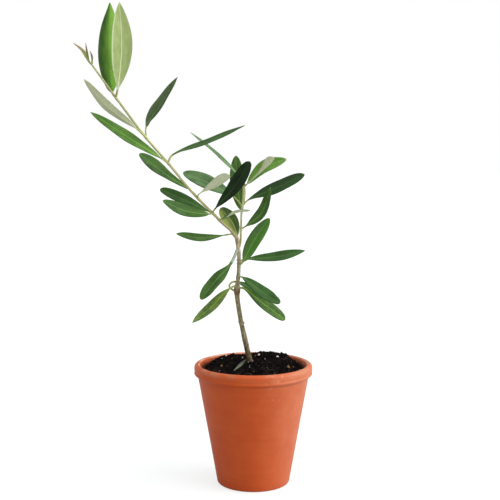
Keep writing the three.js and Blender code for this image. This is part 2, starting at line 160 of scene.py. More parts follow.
class Direction(Field):
    """The same for a vector."""

    def vector_math(self, operation, *others):
        return add_node(self.tree, "ShaderNodeVectorMath", (self, *others), operation=operation)

    def __add__(self, other):
        return Direction(self.vector_math("ADD", other).outputs[0])

    def __sub__(self, other):
        return Direction(self.vector_math("SUBTRACT", other).outputs[0])

    def __mul__(self, other):
        made = add_node(self.tree, "ShaderNodeVectorMath", {0: self, 3: other}, operation="SCALE")
        return Direction(made.outputs[0])

    def stretched(self, factors):
        return Direction(self.vector_math("MULTIPLY", factors).outputs[0])

    def cross(self, other):
        return Direction(self.vector_math("CROSS_PRODUCT", other).outputs[0])

    def dot(self, other):
        return Field(self.vector_math("DOT_PRODUCT", other).outputs[1])

    def length(self):
        return Field(self.vector_math("LENGTH").outputs[1])

    def unit(self):
        return Direction(self.vector_math("NORMALIZE").outputs[0])

    def turned(self, axis, angle):
        made = add_node(self.tree, "ShaderNodeVectorRotate", {"Vector": self, "Axis": axis, "Angle": angle})
        return Direction(made.outputs[0])

    def parts(self):
        return [Field(socket) for socket in add_node(self.tree, "ShaderNodeSeparateXYZ", (self,)).outputs]

    def noise(self, scale, detail=2.0, roughness=0.5):
        """Noise from 0 to 1 over the surface, with its features at 1 / scale."""
        made = add_node(self.tree, "ShaderNodeTexNoise",
                        {"Vector": self, "Scale": scale, "Detail": detail, "Roughness": roughness})
        return Field(made.outputs[0])


def vector_of(x, y, z):
    tree = next(part.tree for part in (x, y, z) if isinstance(part, Field))
    return Direction(add_node(tree, "ShaderNodeCombineXYZ", (x, y, z)).outputs[0])


class Finish:
    """A material in the making. Numbers that are the same all over go to the shader's own sockets."""

    def __init__(self, name, **sockets):
        self.material = bpy.data.materials.new(name)
        self.material.use_nodes = True
        self.tree = self.material.node_tree
        self.shader = self.tree.nodes["Principled BSDF"]
        for socket, value in sockets.items():
            self.shader.inputs[socket.replace("_", " ")].default_value = value

    def place(self):
        return Direction(add_node(self.tree, "ShaderNodeTexCoord").outputs["Object"])

    def attribute(self, name):
        return Direction(add_node(self.tree, "ShaderNodeAttribute", attribute_name=name).outputs["Vector"])

    def mix(self, amount, first, second):
        made = add_node(self.tree, "ShaderNodeMix", {0: amount, 6: first, 7: second}, data_type="RGBA")
        return made.outputs[2]

    def done(self, colour, roughness=None, height=None, depth=0.0):
        plug(self.tree, self.shader.inputs["Base Color"], colour)
        if roughness is not None:
            plug(self.tree, self.shader.inputs["Roughness"], roughness)
        if height is not None:
            bump = add_node(self.tree, "ShaderNodeBump", {"Distance": depth, "Height": height})
            plug(self.tree, self.shader.inputs["Normal"], bump.outputs[0])
        return self.material


def white_table():
    """White card, lifted where it is looked at, so that only the deepest shadow shows, and softly."""
    finish = Finish("white_card", Roughness=0.9, Emission_Color=(0.97, 1, 1, 1))
    mottle = finish.place().noise(scale=3.0)
    looked_at = Field(add_node(finish.tree, "ShaderNodeLightPath").outputs["Is Camera Ray"])
    plug(finish.tree, finish.shader.inputs["Emission Strength"], looked_at * TABLE_GLOW)
    card = finish.mix(mottle, (0.53, 0.53, 0.53), (0.57, 0.57, 0.57))
    return finish.done(finish.mix(looked_at, card, CARD_SEEN))


corners = [(x * TABLE_REACH, y * TABLE_REACH, -0.1 * MM) for x, y in ((-1, -1), (1, -1), (1, 1), (-1, 1))]
table_mesh = bpy.data.meshes.new("table")
table_mesh.from_pydata(corners, [], [(0, 1, 2, 3)])
table_mesh.materials.append(white_table())
table = placed("table", table_mesh)

# The room is white to look at and dimmer as a light, so that dark leaves stay dark.
room = bpy.data.worlds.new("white_room")
room.use_nodes = True
room.node_tree.nodes.clear()
seen = add_node(room.node_tree, "ShaderNodeLightPath").outputs["Is Camera Ray"]
walls = add_node(room.node_tree, "ShaderNodeBackground", {"Color": (1, 1, 1), "Strength": WHITE_ROOM})
sight = add_node(room.node_tree, "ShaderNodeBackground", {"Color": (1, 1, 1), "Strength": 1.0})
both = add_node(room.node_tree, "ShaderNodeMixShader", (seen, walls.outputs[0], sight.outputs[0]))
add_node(room.node_tree, "ShaderNodeOutputWorld", (both.outputs[0],))
scene.world = room

# ---------------------------------------------------------------- pot
# A small flowerpot of red earthenware, thrown on a wheel and left unglazed. Its rim is a folded band
# with a rolled lip, its foot is cut flat, and old watering has left a few pale specks of salt on it.

POT_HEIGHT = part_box("pot")[1].z
RIM_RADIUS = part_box("pot")[1].x
RIM_DEPTH = 10.2 * MM
WALL_TOP_RADIUS = 51.8 * MM
BASE_RADIUS = 33.6 * MM
WALL = 5 * MM
FLOOR = 8 * MM
FOOT_ROUND = 2.4 * MM
BEAD_GROOVE = 0.3 * MM  # the shallow groove above the bead that edges the rim band
LIP_ROUND = 3.4 * MM
MOUTH_ROUND = 2 * MM
POT_SIDES = 160
FLARE = (WALL_TOP_RADIUS - BASE_RADIUS) / (POT_HEIGHT - RIM_DEPTH)


def arc(centre, radius, start, stop, steps):
    angles = [radians(start + (stop - start) * i / steps) for i in range(steps + 1)]
    return [(centre[0] + radius * cos(a), centre[1] + radius * sin(a)) for a in angles]


def climb(start, stop, step):
    """Heights from start to stop, about a step apart."""
    count = max(1, round(abs(stop - start) / step))
    return [start + (stop - start) * i / count for i in range(count + 1)]


def smooth_step(value, start, stop):
    share = min(1.0, max(0.0, (value - start) / (stop - start)))
    return share * share * (3 - 2 * share)


def outside(height):
    """Outer radius: the flared wall, the step out to the rim band, and the groove above its bead."""
    band = smooth_step(height, POT_HEIGHT - RIM_DEPTH - 2.0 * MM, POT_HEIGHT - RIM_DEPTH + 1.6 * MM)
    groove = exp(-(((height - (POT_HEIGHT - RIM_DEPTH + 3.4 * MM)) / (1.1 * MM)) ** 2))
    wall = BASE_RADIUS + FLARE * min(height, POT_HEIGHT - RIM_DEPTH)
    return wall + (RIM_RADIUS - WALL_TOP_RADIUS) * band - BEAD_GROOVE * groove


def inside(height):
    return BASE_RADIUS - WALL + FLARE * height


foot_tilt = atan(FLARE)
foot_centre = BASE_RADIUS + FOOT_ROUND * (FLARE - 1 / cos(foot_tilt))
lip_base = POT_HEIGHT - LIP_ROUND
pot_profile = [(radius * MM, 0.0) for radius in (0, 10, 20, 28)]
pot_profile += arc((foot_centre, FOOT_ROUND), FOOT_ROUND, -90, -10, 7)
pot_profile += [(outside(z), z) for z in climb(4 * MM, POT_HEIGHT - 13 * MM, 1 * MM)]
pot_profile += [(outside(z), z) for z in climb(POT_HEIGHT - 12.5 * MM, lip_base - 0.3 * MM, 0.3 * MM)]
pot_profile += arc((RIM_RADIUS - LIP_ROUND, lip_base), LIP_ROUND, 0, 90, 12)
mouth = (RIM_RADIUS - WALL + MOUTH_ROUND - 0.3 * MM, POT_HEIGHT - MOUTH_ROUND)
pot_profile += arc(mouth, MOUTH_ROUND, 90, 180, 8)
pot_profile += [(mouth[0] - MOUTH_ROUND - drop * 0.3, mouth[1] - drop)
                for drop in climb(1 * MM, 12 * MM, 1 * MM)]
pot_profile += [(inside(z), z) for z in climb(96 * MM, FLOOR, 8 * MM)]
pot_profile += [(20 * MM, FLOOR), (0.0, FLOOR)]


def socket_type(value):
    if value is bpy.types.Material:
        return "NodeSocketMaterial"
    if isinstance(value, tuple):
        return "NodeSocketColor" if len(value) == 4 else "NodeSocketVector"
    return "NodeSocketInt" if isinstance(value, int) else "NodeSocketFloat"


def add_inputs(tree, inputs):
    """Named inputs with their usual values, and the node that hands them out."""
    for name, value in inputs.items():
        socket = tree.interface.new_socket(name, in_out="INPUT", socket_type=socket_type(value))
        if value is not bpy.types.Material:
            socket.default_value = value
    return tree.nodes.new("NodeGroupInput")


def add_outputs(tree, **kinds):
    for name, kind in kinds.items():
        tree.interface.new_socket(name, in_out="OUTPUT", socket_type="NodeSocket" + kind)


SEAM_GAP = 0.002 * MM  # points closer than this are one point


class Recipe:
    """A Geometry Nodes tree in the making, with its named inputs."""

    def __init__(self, name, inputs):
        self.tree = bpy.data.node_groups.new(name, "GeometryNodeTree")
        self.tree.is_modifier = True
        self.tree.interface.new_socket("Geometry", in_out="INPUT", socket_type="NodeSocketGeometry")
        self.entry = add_inputs(self.tree, inputs)
        self.start = self.entry.outputs["Geometry"]

    def __getitem__(self, name):
        socket = self.entry.outputs[name]
        kinds = {"VECTOR": Direction, "VALUE": Field, "INT": Field}
        return kinds[socket.type](socket) if socket.type in kinds else socket

    def step(self, kind, inputs=(), output=0, **settings):
        return add_node(self.tree, kind, inputs, **settings).outputs[output]

    def position(self):
        return Direction(self.step("GeometryNodeInputPosition"))

    def stored(self, name):
        socket = self.step("GeometryNodeInputNamedAttribute", {"Name": name}, data_type="FLOAT_VECTOR")
        return Direction(socket)

    def keep(self, geometry, name, value):
        """Stores a vector on the points, for the material to read."""
        inputs = {"Geometry": geometry, "Name": name, "Value": value}
        return self.step("GeometryNodeStoreNamedAttribute", inputs, data_type="FLOAT_VECTOR", domain="POINT")

    def number(self, name):
        """A number that the points carry."""
        return Field(self.step("GeometryNodeInputNamedAttribute", {"Name": name}, data_type="FLOAT"))

    def pushed_out(self, geometry, distance):
        """Moves each point along its normal."""
        offset = Direction(self.step("GeometryNodeInputNormal")) * distance
        return self.step("GeometryNodeSetPosition", {"Geometry": geometry, "Offset": offset})

    def skin(self, geometry):
        """Closes seams and poles and shades the faces smooth."""
        closed = self.step("GeometryNodeMergeByDistance", {"Geometry": geometry, "Distance": SEAM_GAP})
        return self.step("GeometryNodeSetShadeSmooth", {"Geometry": closed})

    def finish(self, geometry, material, *others):
        """Ends the tree: real geometry, and its material; others are (material, selection) on top of it."""
        made = self.step("GeometryNodeRealizeInstances", (geometry,))
        made = self.step("GeometryNodeSetMaterial", {"Geometry": made, "Material": self[material]})
        for name, selection in others:
            inputs = {"Geometry": made, "Material": self[name], "Selection": selection}
            made = self.step("GeometryNodeSetMaterial", inputs)
        add_outputs(self.tree, Geometry="Geometry")
        add_node(self.tree, "NodeGroupOutput", (made,))

    def make(self, name, source, **values):
        """Runs the recipe on a mesh of points or edges, and keeps the result as a plain mesh."""
        holder = placed(name + "_source", source)
        modifier = holder.modifiers.new("recipe", "NODES")
        modifier.node_group = self.tree
        for item in self.tree.interface.items_tree:
            key = item.name.replace(" ", "_").lower()
            if key in values:
                modifier[item.identifier] = values[key]
        mesh = bpy.data.meshes.new_from_object(holder.evaluated_get(bpy.context.evaluated_depsgraph_get()))
        holder.modifiers.remove(modifier)
        bpy.data.objects.remove(holder)
        mesh.name = name
        return placed(name, mesh)


def strand(name, points, **numbers):
    """Points joined one to the next, each with its numbers."""
    mesh = bpy.data.meshes.new(name)
    mesh.from_pydata(points, [(i, i + 1) for i in range(len(points) - 1)], [])
    for key, values in numbers.items():
        mesh.attributes.new(key, "FLOAT", "POINT").data.foreach_set("value", values)
    return mesh


def dress(piece, slot, *nodes):
    """The piece moves with the plant and stands for nodes of the model. Its slot is not used."""
    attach(piece, "root")
    if nodes:
        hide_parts(*nodes)


# The wheel: a profile turned about the pot's axis, with the ridges that fingers leave as it turns.
wheel = Recipe("Thrown on a wheel", {
    "Sides": 96, "Ridge Depth": 0.1 * MM, "Ridge Count": 500.0, "Wobble": 0.3 * MM,
    "Material": bpy.types.Material})
profile_size = wheel.step("GeometryNodeAttributeDomainSize", (wheel.start,))
grid = wheel.step("GeometryNodeMeshGrid", {
    "Size X": 1.0, "Size Y": 1.0, "Vertices X": wheel["Sides"] + 1, "Vertices Y": profile_size})
index = Field(wheel.step("GeometryNodeInputIndex"))
rows = Field(profile_size)
column = (index / rows + 0.0001).math("FLOOR")
turn = column / wheel["Sides"] * (2 * pi)
profile_point = wheel.step("GeometryNodeSampleIndex", {
    "Geometry": wheel.start, "Value": wheel.position(), "Index": index - column * rows},
    data_type="FLOAT_VECTOR")
radius, _, height = Direction(profile_point).parts()
east, north = turn.math("COSINE"), turn.math("SINE")
around = vector_of(east * 0.4, north * 0.4, height * wheel["Ridge Count"])
sway = vector_of(east * 0.7, north * 0.7, height * 12.0)
off_foot = height.eased(1.5 * MM, 9 * MM) * radius.eased(20 * MM, 30 * MM)
ridges = (around.noise(scale=1.0, detail=3.0) - 0.5) * wheel["Ridge Depth"] * 2
wobble = (sway.noise(scale=1.0, detail=1.0) - 0.5) * wheel["Wobble"] * 2
turned = radius + (ridges + wobble) * off_foot
uneven = (vector_of(east, north, 5.0).noise(scale=1.3) - 0.5) * wheel["Wobble"]
uneven = uneven * height.eased(90 * MM, 112 * MM)
thrown = wheel.step("GeometryNodeSetPosition", {
    "Geometry": grid, "Position": vector_of(turned * east, turned * north, height + uneven)})
wheel.finish(wheel.skin(thrown), "Material")


def grain_group():
    """Earthy grain, for clay, compost and bark: a mask of mottling and the height of the grain."""
    tree = bpy.data.node_groups.new("Earthy grain", "ShaderNodeTree")
    entry = add_inputs(tree, {"Place": (0.0, 0.0, 0.0), "Mottle Size": 20 * MM, "Grain Size": 0.6 * MM})
    add_outputs(tree, Mottle="Float", Grain="Float")
    place = Direction(entry.outputs["Place"])
    mottle = place.noise(scale=Field(entry.outputs["Mottle Size"]) ** -1, detail=5.0, roughness=0.6)
    grain = place.noise(scale=Field(entry.outputs["Grain Size"]) ** -1, detail=3.0, roughness=0.65)
    add_node(tree, "NodeGroupOutput", (mottle.eased(0.3, 0.7), grain.eased(0.2, 0.8)))
    return tree


earthy_grain = grain_group()


def grain_of(finish, place, mottle_size, grain_size):
    """The Earthy grain group in a material: its mottle and its grain."""
    made = add_node(finish.tree, "ShaderNodeGroup", node_tree=earthy_grain,
                    inputs=(place, mottle_size, grain_size))
    return Field(made.outputs["Mottle"]), Field(made.outputs["Grain"])


SALT_AT = (21 * MM, -50 * MM, 107.5 * MM)  # where the salt bloomed on the rim, and how far it spread
SALT_SPREAD = 20 * MM
CHIP_AT = (16.6 * MM, -45 * MM, 89.5 * MM)  # a knock that shows fresh clay
SHADE_AND_STAIN_TOP = 110.5 * MM  # painted shade, partly a compost stain, darkens the inside of the wall up to here
LIP_HIGHLIGHT_RADIUS = 50.6 * MM  # a pale line painted along the inner edge of the lip, as its highlight


def terracotta():
    finish = Finish("terracotta", Specular_IOR_Level=0.27)
    place = finish.place()
    mottle, grain = grain_of(finish, place, 24 * MM, 0.5 * MM)
    streaks = place.stretched((14.0, 14.0, 260.0)).noise(scale=1.0, detail=4.0).eased(0.3, 0.75)
    clay = finish.mix(mottle, (0.43, 0.056, 0.003), (0.48, 0.072, 0.007))
    clay = finish.mix(streaks * 0.2, clay, (0.53, 0.095, 0.018))
    clay = finish.mix(grain * 0.2, clay, (0.36, 0.043, 0.003))
    near_salt = (place - SALT_AT).length().eased(SALT_SPREAD, 0.0)
    bloom = place.stretched((300.0, 300.0, 520.0)).noise(scale=1.0, detail=3.0).eased(0.6, 0.72)
    film = place.stretched((60.0, 60.0, 170.0)).noise(scale=1.0, detail=3.0).eased(0.4, 0.7)
    chip = (place - CHIP_AT).length().eased(2.2 * MM, 0.4 * MM)
    east, north, up = place.parts()
    out = (east * east + north * north) ** 0.5
    on_lip = up.eased(POT_HEIGHT - 9 * MM, POT_HEIGHT)
    pale = (near_salt * bloom * 0.45 + near_salt * film * 0.12 + chip * 0.45 + on_lip * 0.04).at_most(1.0)
    # painted light and sheen: the right side of the pot, where the key light falls, is painted paler, less
    # towards the foot
    painted_right_light = east.eased(-4 * MM, 50 * MM) * (mottle * 0.35 + 0.5) * up.eased(0.0, 60 * MM, 0.65, 1.0)
    clay = finish.mix(painted_right_light, clay, (0.54, 0.175, 0.085))
    clay = finish.mix(on_lip * film * 0.5, clay, (0.42, 0.185, 0.105))
    clay = finish.mix(pale, clay, (0.78, 0.36, 0.20))
    # painted highlight: a pale line along the inner edge of the lip
    at_mouth = up.eased(POT_HEIGHT - 1.4 * MM, POT_HEIGHT - 0.5 * MM)
    wear_and_highlight = abs(out - LIP_HIGHLIGHT_RADIUS).eased(1.0 * MM, 0.2 * MM) * at_mouth
    clay = finish.mix(wear_and_highlight * film.eased(0.0, 0.6, 0.25, 0.7), clay, (0.72, 0.42, 0.30))
    # painted shade, partly a stain from the compost: the inside of the wall above the compost is painted dark
    past_inside = out - (up * FLARE + (BASE_RADIUS - WALL))
    shade_and_stain = (up + (mottle - 0.5) * (3 * MM)).eased(SHADE_AND_STAIN_TOP, SHADE_AND_STAIN_TOP - 5 * MM)
    clay = finish.mix(past_inside.eased(3.6 * MM, 2.4 * MM) * shade_and_stain, clay, (0.045, 0.015, 0.008))
    height = grain * 0.5 + streaks * 0.5
    return finish.done(clay, grain.eased(0.0, 1.0, 0.42, 0.58), height, depth=0.12 * MM)


pot = wheel.make("pot_body", strand("pot_profile", [(r, 0.0, z) for r, z in pot_profile]),
                 sides=POT_SIDES, ridge_depth=0.09 * MM, ridge_count=620.0, wobble=0.28 * MM,
                 material=terracotta())
dress(pot, "terracotta", "pot")

# ---------------------------------------------------------------- compost
# Dark peaty compost, heaped by hand round the stem and banked up behind it on the right. It is full of
# crumbs, brown fibres and bits of white perlite, and it stops a few millimetres below the lip.

STEM_FOOT = Vector((-2.9, 9, 112)) * MM
SOIL_LEVEL = 108.8 * MM
SOIL_SLOPE = (0.012, 0.072)
SOIL_LUMP = 0.9 * MM
BANK = {"x": 20 * MM, "y": 35 * MM, "height": 6.0 * MM, "spread": 16 * MM}
COLLAR = {"x": STEM_FOOT.x, "y": STEM_FOOT.y, "height": 2.5 * MM, "spread": 12 * MM}
HEEL = {"x": STEM_FOOT.x, "y": STEM_FOOT.y, "height": 1.3 * MM, "spread": 5 * MM}
SHELF = {"x": -28 * MM, "y": 34 * MM, "height": 1.3 * MM, "spread": 14 * MM}
SOIL_RIM = RIM_RADIUS - WALL - 1.9 * MM
SOIL_EDGE_DROP = 6 * MM
SOIL_SPOKES = 240
SOIL_RINGS = 80
SHED_LEAF_FROM = Vector((-17.8, -17.5, 109.6)) * MM
SHED_LEAF_TO = Vector((-7, 18, 112.2)) * MM
SHED_LEAF_WIDTH = 3.1 * MM


def to_shed_leaf(x, y):
    """How far a spot is from the shed leaf that lies on the compost, and the leaf's height there."""
    run = SHED_LEAF_TO - SHED_LEAF_FROM
    step = Vector((x, y, 0)) - SHED_LEAF_FROM
    share = min(1.0, max(0.0, (step.x * run.x + step.y * run.y) / (run.x ** 2 + run.y ** 2)))
    near = SHED_LEAF_FROM + run * share
    return hypot(x - near.x, y - near.y), near.z


def ground(x, y):
    """Height of the compost: its level and slope, its mounds, its lumps and its crumbs."""
    mounds = sum(m["height"] * exp(-((x - m["x"]) ** 2 + (y - m["y"]) ** 2) / m["spread"] ** 2)
                 for m in (BANK, COLLAR, HEEL, SHELF))
    across, along = x / MM, y / MM
    lumps = sin(across * 0.41 + 1.3 * sin(along * 0.23)) * cos(along * 0.37 + 0.9 * sin(across * 0.19))
    coarse = noise.noise(Vector((across, along, 0)) * 0.28)
    crumbs = coarse + 0.6 * noise.noise(Vector((across, along, 9)) * 0.75)
    height = SOIL_LEVEL + SOIL_SLOPE[0] * x + SOIL_SLOPE[1] * y + mounds + SOIL_LUMP * (lumps + crumbs)
    out = hypot(x, y)
    drop = SOIL_EDGE_DROP * (0.15 + 0.85 * (x / SOIL_RIM) ** 4)
    height -= drop * smooth_step(out + 2 * MM * crumbs, SOIL_RIM - 7 * MM, SOIL_RIM)
    away, leaf_height = to_shed_leaf(x, y)
    bed = leaf_height - 1.0 * MM + 3 * MM * smooth_step(away, 3 * MM, 7 * MM)
    return min(height, bed)


def compost_mesh():
    """A closed body: floor, side, and a surface of fine rings that end in one point at the middle."""
    def ring(radius, height_at):
        spots = [(radius * cos(2 * pi * i / SOIL_SPOKES), radius * sin(2 * pi * i / SOIL_SPOKES))
                 for i in range(SOIL_SPOKES)]
        return [(x, y, height_at(x, y)) for x, y in spots]

    bottom = FLOOR + 0.3 * MM
    shoulder = POT_HEIGHT - RIM_DEPTH - 4 * MM
    rings = [ring(inside(bottom) - 0.3 * MM, lambda x, y: bottom),
             ring(inside(shoulder) - 0.3 * MM, lambda x, y: shoulder)]
    rings += [ring(SOIL_RIM * k / SOIL_RINGS, ground) for k in range(SOIL_RINGS, 0, -1)]
    points = [point for level in rings for point in level] + [(0, 0, bottom), (0, 0, ground(0, 0))]
    around = [(i, (i + 1) % SOIL_SPOKES) for i in range(SOIL_SPOKES)]
    faces = [(k + i, k + j, k + SOIL_SPOKES + j, k + SOIL_SPOKES + i)
             for k in range(0, (len(rings) - 1) * SOIL_SPOKES, SOIL_SPOKES) for i, j in around]
    last = (len(rings) - 1) * SOIL_SPOKES
    faces += [(j, i, len(points) - 2) for i, j in around]
    faces += [(last + i, last + j, len(points) - 1) for i, j in around]
    mesh = bpy.data.meshes.new("compost")
    mesh.from_pydata(points, [], faces)
    mesh.shade_smooth()
    return mesh


def peat(name, dark, light):
    finish = Finish(name, Specular_IOR_Level=0.08)
    place = finish.place()
    mottle, grain = grain_of(finish, place, 5 * MM, 0.7 * MM)
    earth = finish.mix(mottle * grain, dark, light)
    return finish.done(earth, grain.eased(0.0, 1.0, 0.8, 1.0), grain, depth=0.5 * MM)


compost = placed("compost", compost_mesh())
compost.data.materials.append(peat("compost", (0.0015, 0.0012, 0.0012), (0.012, 0.007, 0.006)))
dress(compost, "compost", "soil")

FULL_TURN = 6.28
FIBRE_TILT = 0.55

# Bits on the compost: each point becomes a lump of its own shape, turned anyhow.
bits = Recipe("Strewn bits", {"Fineness": 1, "Raggedness": 0.35, "Seed": 0, "Material": bpy.types.Material})
lump = bits.step("GeometryNodeMeshIcoSphere", {"Radius": 0.5, "Subdivisions": bits["Fineness"]})
size = bits.number("size")


def any_of(recipe, low, high, seed_shift=0, kind="FLOAT"):
    made = add_node(recipe.tree, "FunctionNodeRandomValue", data_type=kind)
    names = ("Min", "Max", "Seed")
    for socket in (s for s in made.inputs if s.enabled and s.name in names):
        plug(recipe.tree, socket, {"Min": low, "Max": high, "Seed": recipe["Seed"] + seed_shift}[socket.name])
    return next(s for s in made.outputs if s.enabled)


def any_turn(recipe, low, high, seed_shift):
    """A seeded rotation for each point, its angles between low and high."""
    angles = any_of(recipe, low, high, seed_shift, "FLOAT_VECTOR")
    return recipe.step("FunctionNodeEulerToRotation", (angles,))


stretch = [Field(any_of(bits, 0.55, 1.0, seed_shift=i)) for i in (1, 2, 3)]
strewn = bits.step("GeometryNodeInstanceOnPoints", {
    "Points": bits.start, "Instance": lump, "Scale": vector_of(*(part * size for part in stretch)),
    "Rotation": any_turn(bits, (0, 0, 0), (FULL_TURN, FULL_TURN, FULL_TURN), seed_shift=4)})
strewn = bits.step("GeometryNodeRealizeInstances", (strewn,))
bulge = (bits.position().noise(scale=1 / (1.1 * MM), detail=1.0) - 0.5) * bits["Raggedness"]
strewn = bits.pushed_out(strewn, bulge * MM)
strewn = bits.step("GeometryNodeSetShadeSmooth", {"Geometry": strewn, "Shade Smooth": False})
bits.finish(strewn, "Material")


def strew(seed, count, smallest, largest, sink=0.25):
    """Seeded spots on the compost, away from the stem and the shed leaf: places and sizes."""
    dice = Random(seed)
    spots, sizes = [], []
    while len(spots) < count:
        x, y = (dice.uniform(-SOIL_RIM, SOIL_RIM) for _ in range(2))
        bit = smallest + (largest - smallest) * dice.random() ** 3
        clear_of_leaf = to_shed_leaf(x, y)[0] > SHED_LEAF_WIDTH * 0.75 + bit / 2
        clear_of_stem = hypot(x - STEM_FOOT.x, y - STEM_FOOT.y) > 2.4 * MM + bit / 2
        if hypot(x, y) < SOIL_RIM - bit / 2 and clear_of_leaf and clear_of_stem:
            spots.append((x, y, ground(x, y) + bit * sink))
            sizes.append(bit)
    return spots, sizes


def scatter(name, spots, sizes, slot, material, **values):
    piece = bits.make(name, strand(name, spots, size=sizes), material=material, **values)
    dress(piece, slot)


crumbly = peat("crumbs", (0.0012, 0.0008, 0.0008), (0.016, 0.008, 0.007))
clod_spots, clod_sizes = strew(29, 320, 1.5 * MM, 3.0 * MM)
scatter("clods", clod_spots, clod_sizes, "compost", crumbly, fineness=2, raggedness=1.1, seed=5)
crumb_spots, crumb_sizes = strew(3, 5200, 0.5 * MM, 2.3 * MM)
scatter("crumbs", crumb_spots, crumb_sizes, "compost", crumbly, fineness=1, raggedness=0.9, seed=6)

# Perlite: a few bits that catch the eye, by place and size, and seeded ones among them.
PERLITE = [(5.6, 29, 2.7), (23.1, 20.2, 2.4), (11.2, 19, 1.3), (16.4, 19.8, 1.2),
           (-10.4, 30, 1.2), (-31.2, -12.2, 1.7), (-26.2, 32.8, 2.6)]
WOOD_CHIPS = [(32.7, -3.8, 3.2), (37.3, -4.0, 1.7), (-29.7, 0, 2.2), (27.8, 1, 1.5)]


def seated(rows, sink=0.3):
    spots = [(x * MM, y * MM, ground(x * MM, y * MM) + size * sink * MM) for x, y, size in rows]
    return spots, [size * MM for _, _, size in rows]


def mineral(name, dark, light):
    finish = Finish(name, Specular_IOR_Level=0.3)
    mottle, grain = grain_of(finish, finish.place(), 2 * MM, 0.3 * MM)
    rough = grain.eased(0.0, 1.0, 0.7, 0.95)
    return finish.done(finish.mix(mottle, dark, light), rough, grain, depth=0.3 * MM)


loose_spots, loose_sizes = strew(11, 50, 0.4 * MM, 1.2 * MM, sink=0.3)
placed_spots, placed_sizes = seated(PERLITE)
scatter("perlite", placed_spots + loose_spots, placed_sizes + loose_sizes, "compost",
        mineral("perlite", (0.42, 0.40, 0.36), (0.78, 0.76, 0.70)), fineness=3, raggedness=0.6, seed=2)
chip_spots, chip_sizes = seated(WOOD_CHIPS)
more_chips, more_sizes = strew(17, 28, 0.6 * MM, 1.8 * MM, sink=0.3)
scatter("wood_chips", chip_spots + more_chips, chip_sizes + more_sizes, "compost",
        mineral("wood_chip", (0.16, 0.075, 0.03), (0.46, 0.27, 0.10)), fineness=2, raggedness=0.5, seed=8)

# Fibres: short brown hairs of coir that arch out of the surface.
fibres = Recipe("Coir fibres", {"Thickness": 0.012, "Seed": 0, "Material": bpy.types.Material})
hair = fibres.step("GeometryNodeCurveQuadraticBezier", {
    "Resolution": 8, "Start": (-0.5, 0.0, -0.08), "Middle": (0.0, 0.22, 0.34), "End": (0.5, 0.0, -0.06)})
hair = fibres.step("GeometryNodeCurveToMesh", {
    "Curve": hair, "Fill Caps": True,
    "Profile Curve": fibres.step("GeometryNodeCurvePrimitiveCircle", {
        "Resolution": 5, "Radius": fibres["Thickness"]})})
length = fibres.number("size")
laid = fibres.step("GeometryNodeInstanceOnPoints", {
    "Points": fibres.start, "Instance": hair, "Scale": vector_of(length, length, length),
    "Rotation": any_turn(fibres, (-FIBRE_TILT, -FIBRE_TILT, 0), (FIBRE_TILT, FIBRE_TILT, FULL_TURN), 1)})
fibres.finish(laid, "Material")

fibre_spots, fibre_sizes = strew(23, 260, 3 * MM, 12 * MM, sink=0.0)
coir = fibres.make("coir_fibres", strand("coir_fibres", fibre_spots, size=fibre_sizes), seed=4,
                   material=mineral("coir", (0.020, 0.011, 0.008), (0.12, 0.065, 0.040)))
dress(coir, "compost")

# ---------------------------------------------------------------- limbs
# One stem rises out of the compost and leans a little to the left, browned and rough at its foot, with
# a thick knot half way. At its top it forks into a long tan leader, which runs up to the left, and a
# short green side shoot. All three are one living stick of wood, with a thin bark that splits as it ages.

# By limb, in millimetres: its centre line, its radius at some heights, the heights of the joints where
# leaves stand or have stood, its number of sides and how rough its bark is.
LIMBS = {
    "trunk": {
        "points": [(-2.2, 9.5, 109), (-3.0, 9, 112), (-8.4, 5, 137), (-12.9, 3, 160), (-15.1, 1.5, 179),
                   (-13.6, 0.5, 198), (-13.3, 0, 214), (-15.5, -1, 232)],
        "girth": [(109, 2.7), (116, 2.6), (126, 2.5), (134, 2.55), (148, 2.15), (172, 2.15), (176, 2.3),
                  (180, 3.0), (186, 2.2), (190, 1.75), (208, 1.65), (222, 1.75), (229, 1.95), (232, 1.7)],
        "joints": (150, 183, 193, 206, 217), "sides": 40, "relief": 0.5,
    },
    "leader": {
        "points": [(-15, -0.9, 229.5), (-21.3, -2.4, 237.7), (-27, -4.2, 242.8), (-36.6, -7, 252.8),
                   (-56, -10, 273.0), (-76.7, -13, 298.6), (-95.8, -16, 321), (-122, -19, 356.3),
                   (-142, -22, 384.4)],
        "girth": [(229, 1.65), (237, 1.35), (267, 1.2), (298, 1.1), (321, 1.05), (356, 1.0), (385, 0.85)],
        "joints": (234, 247, 253, 266, 298, 321, 356), "sides": 28, "relief": 0.14,
    },
    "side_shoot": {
        "points": [(-13.6, 0.1, 219), (-11.9, 1.6, 226), (-11.3, 2.3, 239), (-10.8, 4, 253), (-9.3, 5.5, 264),
                   (-8.6, 7, 278.6)],
        "girth": [(219, 1.1), (248, 0.95), (260, 1.2), (270, 1.35), (279, 1.15)],
        "joints": (238, 257, 277), "sides": 24, "relief": 0.1,
    },
}


def smooth_path(points, step=0.35):
    """A centripetal Catmull-Rom curve through the points, as points about a step apart."""
    points = [Vector(point) for point in points]
    if len(points) == 2:
        points.insert(1, (points[0] + points[1]) / 2)
    ends = [points[0] * 2 - points[1], *points, points[-1] * 2 - points[-2]]
    path = []
    for p0, p1, p2, p3 in zip(ends, ends[1:], ends[2:], ends[3:]):
        gaps = [max(1e-4, (b - a).length ** 0.5) for a, b in ((p0, p1), (p1, p2), (p2, p3))]
        leave = ((p1 - p0) / gaps[0] - (p2 - p0) / (gaps[0] + gaps[1]) + (p2 - p1) / gaps[1]) * gaps[1]
        arrive = ((p2 - p1) / gaps[1] - (p3 - p1) / (gaps[1] + gaps[2]) + (p3 - p2) / gaps[2]) * gaps[1]
        count = max(2, round((p2 - p1).length / step))
        for i in range(count):
            t = i / count
            path.append(p1 * (2 * t ** 3 - 3 * t ** 2 + 1) + leave * (t ** 3 - 2 * t ** 2 + t)
                        + p2 * (3 * t ** 2 - 2 * t ** 3) + arrive * (t ** 3 - t ** 2))
    return path + [points[-1]]


